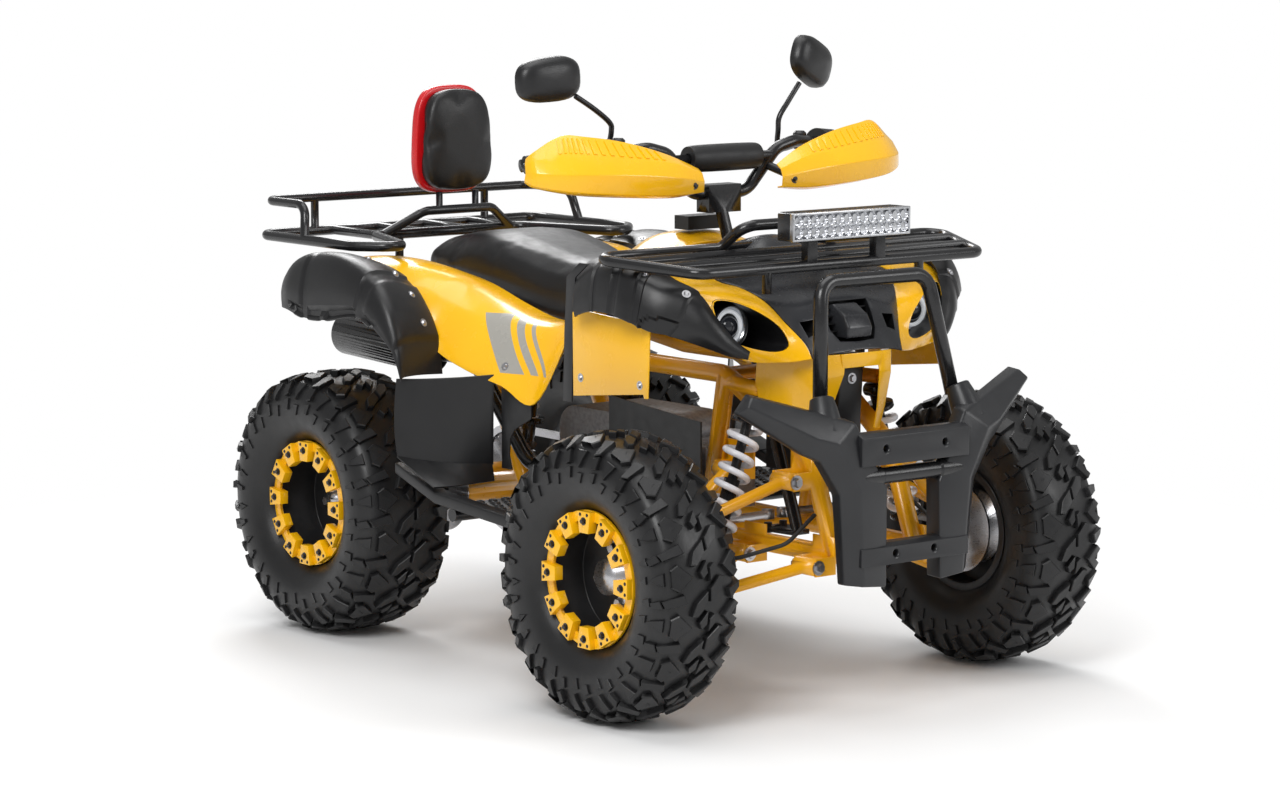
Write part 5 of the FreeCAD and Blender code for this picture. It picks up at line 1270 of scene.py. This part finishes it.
# %% Lamp bar
BAR_HALF, BAR_LOW_Z, BAR_TOP_Z, BAR_BACK_X, BAR_FACE_X = 131, 784.5, 831.5, 537, 579
CELL_COLUMNS, CELL_ROWS, BEZEL, FINS, FIN_STEP = 14, 2, 4.0, 12, 2.6
CUP = ((-0.0100, 0.0), (-0.0100, 0.0022), (-0.0085, 0.0042), (-0.0050, 0.0066), (-0.0006, 0.0082),
       (0.0, 0.0086), (-0.0006, 0.0089), (-0.004, 0.0089))


def slab(low, high, edge):
    """A block with rounded edges between two corners, in millimetres."""
    outline = ((low[1], low[2]), (high[1], low[2]), (high[1], high[2]), (low[1], high[2]))
    return finish_mesh(prism_x(outline, low[0], high[0]), rim=edge, segments=3)


def bar_outline(inset):
    """The outline of the bar's face, brought in by a distance."""
    half, low, high = BAR_HALF - inset, BAR_LOW_Z + inset, BAR_TOP_Z - inset
    return ((-half, low), (half, low), (half, high), (-half, high))


housing = slab((BAR_BACK_X, -BAR_HALF, BAR_LOW_Z), (BAR_FACE_X - 7, BAR_HALF, BAR_TOP_Z), 0.0035)
show("lamp_bar_housing", housing, black_steel, "light_bar", 34)
opening = prism_x(bar_outline(BEZEL), BAR_FACE_X - 6, BAR_FACE_X + 9)
bezel = finish_mesh(prism_x(bar_outline(0), BAR_FACE_X - 9, BAR_FACE_X), cutters=[opening], rim=0.0012)
show("lamp_bar_bezel", bezel, bar_silver, "light_bar", 30)
cups, chips = bmesh.new(), []
cell_wide, cell_high = BAR_HALF - BEZEL, BAR_TOP_Z - BAR_LOW_Z - 2 * BEZEL
for row in range(CELL_ROWS):
    for column in range(CELL_COLUMNS):
        y = (column + 0.5) / CELL_COLUMNS * 2 * cell_wide - cell_wide
        z = BAR_LOW_Z + BEZEL + (row + 0.5) / CELL_ROWS * cell_high
        cup = turned(CUP, Vector((BAR_FACE_X - 1.5, y, z)) * MM, 18)
        cups.from_mesh(cup)
        bpy.data.meshes.remove(cup)
        chips.append((Vector((BAR_FACE_X - 9.5, y, z)) * MM, Vector((1, 0, 0))))
show("lamp_bar_cups", to_mesh(cups, turn=False), cup_silver, "light_bar", 40)
fasten("lamp_chips", chips, pan_tree, 0.0022, 0.002, halo_white)
for tag, y in (("left", 76), ("right", -76)):
    foot = slab((548, y - 11, 741), (566, y + 11, BAR_LOW_Z + 1), 0.0015)
    show("lamp_bar_foot_" + tag, foot, black_steel, "light_bar", 30)
fins = bmesh.new()
for number in range(FINS):
    x, half = BAR_BACK_X - 1 + number * FIN_STEP, BAR_HALF - 8
    fins.from_mesh(slab((x, -half, BAR_TOP_Z - 1), (x + 1.2, half, BAR_TOP_Z + 0.5), 0.0003))
show("lamp_bar_fins", to_mesh(fins), black_steel, "light_bar", 30)
print("lamp bar cells", len(chips), "fins", FINS)

# %% [markdown]
# ## Bumper
# The bumper is one heavy moulding: two facetted uprights that sweep back to their tips, two bevelled beams with
# sunk holes, a round tube between them, and a collar on each side that takes the steel hoop.

# %% Bumper
UPRIGHT = (
    ((700, 62, 222), (738, 60, 221), (738, 112, 226), (718, 136, 229), (700, 138, 229)),
    ((700, 58, 386), (736, 58, 386), (742, 124, 390), (722, 150, 381), (700, 152, 380)),
    ((700, 120, 503), (728, 122, 499), (738, 168, 468), (718, 190, 440), (698, 192, 440)),
    ((694, 160, 514), (716, 162, 510), (727, 205, 478), (706, 216, 452), (690, 218, 452)),
    ((650, 294, 554), (674, 300, 550), (682, 314, 536), (664, 320, 522), (650, 322, 524)),
)
BEAM_BACK, BEAM_FACE, BEAM_BEVEL, BEAM_HALF = 712, 742, 12, 120
BEAMS = ((453, 54, 66), (277, 36, 43))
HOLE_RADIUS, TUBE_Z = 5.5, 405
HOLE_PROFILE = ((0, HOLE_RADIUS), (27, HOLE_RADIUS), (31, HOLE_RADIUS + 4))
COLLAR_PROFILE, COLLAR_LEAN = ((0, 30), (44, 24), (62, 20), (64, 17)), (-0.42, -0.16, 1.0)
TUBE_PROFILE = ((-118, 17), (-66, 17), (-62, 14), (62, 14), (66, 17), (118, 17))


def round_bar(profile, start, across, sides=32):
    """Rings of (distance, radius) along an axis, all in millimetres."""
    axis = Vector(across).normalized()
    first = axis.orthogonal().normalized()
    second = axis.cross(first)
    return closed_mesh([[(Vector(start) + axis * distance + (first * c + second * s) * radius) * MM
                         for c, s in circle(sides)] for distance, radius in profile])


def upright(side):
    rings = [[Vector((x, y * side, z)) * MM for x, y, z in ring] for ring in UPRIGHT]
    return finish_mesh(closed_mesh(rings), rim=0.004, rim_angle=12, segments=3)


def beam(z, height, hole):
    """A beam with a bevelled upper edge and two sunk holes."""
    low, high = z - height / 2, z + height / 2
    outline = ((BEAM_BACK, low), (BEAM_FACE, low), (BEAM_FACE, high - BEAM_BEVEL / 2),
               (BEAM_FACE - BEAM_BEVEL, high), (BEAM_BACK, high))
    holes = [round_bar(HOLE_PROFILE, (BEAM_BACK, side * hole, z), (1, 0, 0)) for side in (1, -1)]
    return finish_mesh(prism_y(outline, -BEAM_HALF, BEAM_HALF), cutters=holes, rim=0.0022, rim_angle=25, segments=3)


def collar(side):
    x, y, z = COLLAR_LEAN
    return round_bar(COLLAR_PROFILE, (700, side * 161, 478), (x, side * y, z))


def bumper_arm(side):
    return round_bar(((0, 9), (100, 9)), (718, side * 66, 277), (-1, 0, -0.24))


pair("bumper_upright", "bumper", upright, bumper_grey, 26)
for name, (z, height, hole) in zip(("upper", "lower"), BEAMS):
    show("bumper_beam_" + name, beam(z, height, hole), bumper_grey, "bumper", 26)
show("bumper_tube", round_bar(TUBE_PROFILE, (722, 0, TUBE_Z), (0, 1, 0)), black_steel, "bumper", 30)
pair("bumper_collar", "bumper", collar, bumper_grey, 40)
pair("bumper_arm", "bumper", bumper_arm, black_steel, 40)
print("bumper holes", [(z, hole) for z, height, hole in BEAMS])

# %% [markdown]
# ## Footrests
# The real footrest is a black side bar with a stamped plate inside it, perforated and roughened for the boot.

# %% Footrests
FOOT_BAR = ((-195, 352), (-75, 312), (157, 295))
BAR_OUT, BAR_WIDE, BAR_HIGH, PLATE_IN = 396, 30, 20, 178
RING_ROWS, RING_COLUMNS, RING_STEP = 6, 8, 28
STUD_PROFILE = ((0, 9), (3.5, 6.5), (3.6, 4.2), (0.3, 4.0))


def foot_bar(side):
    section = ((BAR_OUT - BAR_WIDE, -BAR_HIGH), (BAR_OUT, -BAR_HIGH), (BAR_OUT, 0), (BAR_OUT - BAR_WIDE, 0))
    rings = [[Vector((x, side * y, z + dz)) * MM for y, dz in section] for x, z in FOOT_BAR]
    return finish_mesh(closed_mesh(rings), rim=0.003, segments=3)


def tread_plate(side):
    """The plate with its rows of raised rings round small holes."""
    low_y, high_y = sorted((side * PLATE_IN, side * (BAR_OUT - BAR_WIDE + 4)))
    joined = loaded(slab((-73, low_y, 284), (152, high_y, 288), 0.0006))
    for row in range(RING_ROWS):
        for column in range(RING_COLUMNS):
            y = side * (196 + row * RING_STEP + (RING_STEP / 2 if column % 2 else 0))
            if abs(y) < BAR_OUT - BAR_WIDE - 8:
                stud = round_bar(STUD_PROFILE, (-58 + column * RING_STEP, y, 287.8), (0, 0, 1), 16)
                joined.from_mesh(stud)
                bpy.data.meshes.remove(stud)
    return to_mesh(joined, turn=False)


def foot_arm(x):
    """The tube that carries the footrest, at a place along the machine."""
    return lambda side: round_bar(((0, 12), (210, 12)), (x, side * 172, 275), (0, side, 0))


pair("foot_bar", "footrests", foot_bar, black_plastic)
pair("tread_plate", "footrests", tread_plate, black_steel, 34)
pair("foot_arm", "footrests", foot_arm(120), black_steel, 40)
pair("foot_arm_rear", "footrests", foot_arm(-40), black_steel, 40)

# %% [markdown]
# ## Steel and the rest
# Tubes, arms and castings have the right shape already, so they take their finish on a merged copy.

# %% Steel, castings and rubber
DRESSED = (
    (black_plastic, 32, ("inner_panels",)),
    (frame_orange, 34, ("frame", "front_arms", "swingarm")),
    (black_steel, 34, ("rack_rear", "rack_front", "bumper_hoop", "handlebar", "steering_stem", "shock_bodies",
                       "exhaust")),
    (bare_steel, 34, ("rear_axle", "brake_disc_left", "brake_disc_right", "tie_rod_left", "tie_rod_right")),
    (bare_steel, 30, ("chain",)), (cast_metal, 34, ("knuckle_left", "knuckle_right")),
    (rubber, 34, ("bar_controls",)), (rubber, 40, ("hoses",)),
)
for finish, smooth, nodes in DRESSED:
    for node in nodes:
        dress(node, finish, smooth)
dress("engine", cast_metal, 30, 0.0015)

# %% [markdown]
# ## Screws on the panels
# Screws hold the flares, the fenders and the flaps, and hex bolts hold the suspension arms on the frame. The
# tables say where each ray starts; it then finds the panel.

# %% Panel screws and arm bolts
FLARE_TOP_SCREWS = ((0.333, 0.320), (0.433, 0.328), (0.502, 0.296))
REAR_ARCH_SCREWS = ((-0.463, 0.678), (-0.383, 0.667), (-0.298, 0.638), (-0.248, 0.598), (-0.212, 0.547))
SIDE_SCREWS = {
    "rear_fender_": ((-0.049, 0.527), (-0.290, 0.498), (-0.164, 0.520)),
    "front_flap_": ((0.270, 0.545), (0.430, 0.548)),
}
ARM_PIVOTS, PIVOT_OUT, PIVOT_HALF = ((0.571, 0.386), (0.420, 0.386), (0.628, 0.250), (0.452, 0.250)), 0.138, 0.055
screws = []
for tag, side in (("left", 1), ("right", -1)):
    for x, y in FLARE_TOP_SCREWS:
        screws.append(hit("front_flare_" + tag, (x, side * y, 0.85), (0, 0, -1)))
    for x, z in REAR_ARCH_SCREWS:
        screws.append(hit("rear_flare_" + tag, (x, side * 0.318, z + 0.12), (0, 0, -1)))
    for panel, places in SIDE_SCREWS.items():
        for x, z in places:
            screws.append(hit(panel + tag, (x, side * 0.5, z), (0, -side, 0)))
fasten("panel_screws", screws, pan_tree, 0.0052, 0.0032, bare_steel)
bolts = [hit("frame", (x + way * PIVOT_HALF, y, z), (-way, 0, 0))
         for x, z in ARM_PIVOTS for y in (PIVOT_OUT, -PIVOT_OUT) for way in (1, -1)]
fasten("arm_bolts", bolts, hex_tree, 0.0085, 0.008, bare_steel)

# %% [markdown]
# ## The seat and the backrest
# A seat is foam under stretched vinyl: full and slightly crowned. A plain solid looks hard, so its surface is
# remeshed into even small cells, made a cloth and blown up a little with gravity off. The movement is capped, so
# that the cushion keeps its size.

# %% Stuffing a cushion
CLOTH_FRAMES, CLOTH_PRESSURE, CLOTH_QUALITY, SOFTEN_STEPS, SMOOTH_PASSES = 20, 4.0, 5, 6, 3


def blown_up(mesh, cap, name):
    """Blow a mesh up as cloth, and hold how far each point may move."""
    start = [vertex.co.copy() for vertex in mesh.vertices]
    pad = linked(name + "_cloth", mesh)
    cloth = pad.modifiers.new("cloth", "CLOTH")
    cloth.settings.use_pressure = True
    cloth.settings.uniform_pressure_force = CLOTH_PRESSURE
    cloth.settings.quality = CLOTH_QUALITY
    cloth.settings.effector_weights.gravity = 0.0
    cloth.point_cache.frame_start, cloth.point_cache.frame_end = 1, CLOTH_FRAMES
    for number in range(1, CLOTH_FRAMES + 1):
        scene.frame_set(number)
    blown = settled(pad)
    scene.frame_set(1)
    for vertex, place in zip(blown.vertices, start):
        move = vertex.co - place
        if move.length > cap:
            vertex.co = place + move.normalized() * cap
    return blown


def swollen(form, inset, voxel, cap, name):
    seed = linked(name + "_seed", form)
    remesh = seed.modifiers.new("even", "REMESH")
    remesh.mode, remesh.voxel_size = "VOXEL", voxel
    soften = seed.modifiers.new("soften", "SMOOTH")
    soften.factor, soften.iterations = 0.5, SOFTEN_STEPS
    even = settled(seed)
    normals = [vertex.normal.copy() for vertex in even.vertices]
    for vertex, normal in zip(even.vertices, normals):
        vertex.co -= normal * inset
    shape = loaded(blown_up(even, cap, name))
    for _ in range(SMOOTH_PASSES):
        bmesh.ops.smooth_vert(shape, verts=shape.verts, factor=0.5, use_axis_x=True, use_axis_y=True, use_axis_z=True)
    return to_mesh(shape)


def cushion(name, mesh, node):
    """Show a padded piece in vinyl."""
    piece = show(name, mesh, vinyl, node, 0)
    print(name, "cells", len(mesh.polygons))


# %% Seat
SEAT_STATIONS = (
    (-520, 94, 655, 689), (-471, 128, 638, 712), (-378, 139, 628, 730), (-297, 142, 621, 732), (-198, 134, 607, 716),
    (-105, 119, 590, 699), (-18, 108, 590, 698), (56, 97, 610, 706), (98, 82, 647, 715),
)
SEAT_SECTION = ((0.90, 0.0), (0.98, 0.18), (1.0, 0.52), (0.93, 0.80), (0.70, 0.95), (0.35, 1.0))


def seat_form():
    """The seat: rounded sections from the rear to the front."""
    rings = []
    for x, half, low, top in SEAT_STATIONS:
        side = [Vector((x, half * out, low + (top - low) * up)) * MM for out, up in SEAT_SECTION]
        rings.append(side + mirrored(reversed(side)))
    rows = [rounded(column, 4) for column in zip(*rings)]
    return closed_mesh([list(ring) for ring in zip(*rows)])


cushion("seat_cushion", swollen(seat_form(), 0.004, 0.0055, 0.008, "seat"), "seat")

# %% [markdown]
# The backrest is a soft pad on a red shell. Both are rounded squares that get a little narrower towards the top,
# so one function makes them from two lists of rings.

# %% Backrest
PAD_HALF_WIDE, PAD_HALF_HIGH, PAD_MIDDLE_Z, PAD_TAPER, PAD_STEPS, PAD_POWER = 79, 98, 892, 0.07, 56, 0.56
PAD_SHELL_BACK, PAD_FRONT, PAD_SEAM = -591, -529, -566
PAD_RINGS = ((PAD_SEAM, 0.97), (PAD_SEAM + 6, 1.0), (PAD_FRONT - 12, 0.995), (PAD_FRONT - 4, 0.93), (PAD_FRONT, 0.80))
SHELL_RINGS = ((PAD_SEAM + 2, 1.0), (PAD_SEAM, 1.035), (PAD_SEAM - 12, 1.04), (PAD_SHELL_BACK + 5, 0.98),
               (PAD_SHELL_BACK, 0.84))


def pad_form(rings):
    """Rounded squares, a little narrower at the top, through the depth of the pad."""
    made = []
    for x, share in rings:
        ring = []
        for c, s in rounded_square(PAD_STEPS, PAD_POWER):
            y, z = c * PAD_HALF_WIDE * share, s * PAD_HALF_HIGH * share
            ring.append(Vector((x, y * (1 - PAD_TAPER * z / PAD_HALF_HIGH), PAD_MIDDLE_Z + z)) * MM)
        made.append(ring)
    return closed_mesh(made)


cushion("backrest_pad", swollen(pad_form(PAD_RINGS), 0.003, 0.005, 0.007, "pad"), "backrest")
shell = finish_mesh(pad_form(SHELL_RINGS), rim=0.002, rim_angle=25)
show("backrest_shell", shell, shell_red, "backrest", 40)

# %% [markdown]
# The roll on the handlebar's cross tube is a foam sleeve: one outline turned round the tube, full in the middle
# and drawn in at its ends.

# %% Bar roll
ROLL_END = ((0.001, 0.0098), (0.001, 0.018), (0.004, 0.0225))
ROLL_FULL, ROLL_QUARTER = 0.0240, 0.0238
roll_low, roll_high = (Vector(corner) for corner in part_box("bar_roll"))
roll_half = (roll_high.y - roll_low.y) / 2
left_end = [(roll_half - inset, radius) for inset, radius in reversed(ROLL_END)]
right_end = [(inset - roll_half, radius) for inset, radius in ROLL_END]
roll_middle_part = [(-roll_half * 0.5, ROLL_QUARTER), (0.0, ROLL_FULL), (roll_half * 0.5, ROLL_QUARTER)]
roll_mesh = spun([(y, r) for y, r in rounded(right_end + roll_middle_part + left_end, 4)], 40)
roll_mesh.transform(Matrix.Translation((roll_low + roll_high) / 2))
roll = show("handlebar_roll", roll_mesh, foam, "bar_roll", 40)
print("roll length", round(2 * roll_half, 3))

# %% [markdown]
# ## Floor and light
# The floor is pale and plain, and keeps the machine's shadow. Far from the machine it turns white for the camera
# and for gloss, so that the backdrop stays even. The world is white in the same way. Soft lamps light the machine
# at a plain level, so that a colour comes out about as it is written.

# %% Floor
FLOOR_HALF, WHITE_STARTS, WHITE_FULL = 30.0, 0.9, 2.1
floor_mesh = bpy.data.meshes.new("floor")
floor_corners = [(FLOOR_HALF * x, FLOOR_HALF * y, 0) for x, y in ((-1, -1), (1, -1), (1, 1), (-1, 1))]
floor_mesh.from_pydata(floor_corners, [], [(0, 1, 2, 3)])
floor = linked("floor", floor_mesh)
paint = Finish("floor", base_color=(0.9, 0.9, 0.9), roughness=0.7)
floor_mesh.materials.append(paint.material)
away = paint.node("ShaderNodeVectorMath", {"operation": "LENGTH"}, {0: paint.place()}, output=1)
camera_ray, glossy_ray, clear_ray = paint.outputs(
    paint.node("ShaderNodeLightPath"), "Is Camera Ray", "Is Glossy Ray", "Is Transmission Ray")
share = paint.spread(away, WHITE_STARTS, WHITE_FULL, 0.0, 1.0) * (camera_ray + glossy_ray + clear_ray)
white = paint.node("ShaderNodeEmission", None, {"Color": (1, 1, 1, 1), "Strength": 1.0})
mixed = paint.node("ShaderNodeMixShader", None, {0: share, 2: white})
paint.tree.links.new(paint.shader.outputs[0], mixed.socket.node.inputs[1])
paint.tree.links.new(mixed.socket, paint.tree.nodes["Material Output"].inputs["Surface"])
print("floor reaches", FLOOR_HALF, "m each way")

# %% World and lamps
WORLD_LIGHT, WORLD_SEEN = 0.42, 1.0
world = bpy.data.worlds.new("studio")
scene.world = world
world.use_nodes = True
world_nodes, world_links = world.node_tree.nodes, world.node_tree.links
background = world_nodes["Background"]
background.inputs["Color"].default_value = (1, 1, 1, 1)
path, level = world_nodes.new("ShaderNodeLightPath"), world_nodes.new("ShaderNodeMapRange")
level.inputs["To Min"].default_value, level.inputs["To Max"].default_value = WORLD_LIGHT, WORLD_SEEN
world_links.new(path.outputs["Is Camera Ray"], level.inputs["Value"])
world_links.new(level.outputs["Result"], background.inputs["Strength"])
LAMPS = (
    ("key_lamp", (2.5, -3.6, 3.8), (0.2, 0, 0.5), 2.2, 160), ("fill_lamp", (4.2, 2.6, 2.6), (0.2, 0, 0.4), 2.0, 60),
    ("rim_lamp", (-3.4, 1.5, 3.2), (0, 0, 0.6), 1.8, 90), ("top_lamp", (0, 0, 4.2), (0, 0, 0), 3.0, 70),
)
for name, place, target, size, power in LAMPS:
    lamp = linked(name, bpy.data.lights.new(name, "AREA"))
    lamp.data.size, lamp.data.energy = size, power
    lamp.location = place
    lamp.rotation_euler = (Vector(target) - Vector(place)).to_track_quat("-Z", "Y").to_euler()
scene.view_settings.view_transform = "Standard"
print("lamps", len(LAMPS))
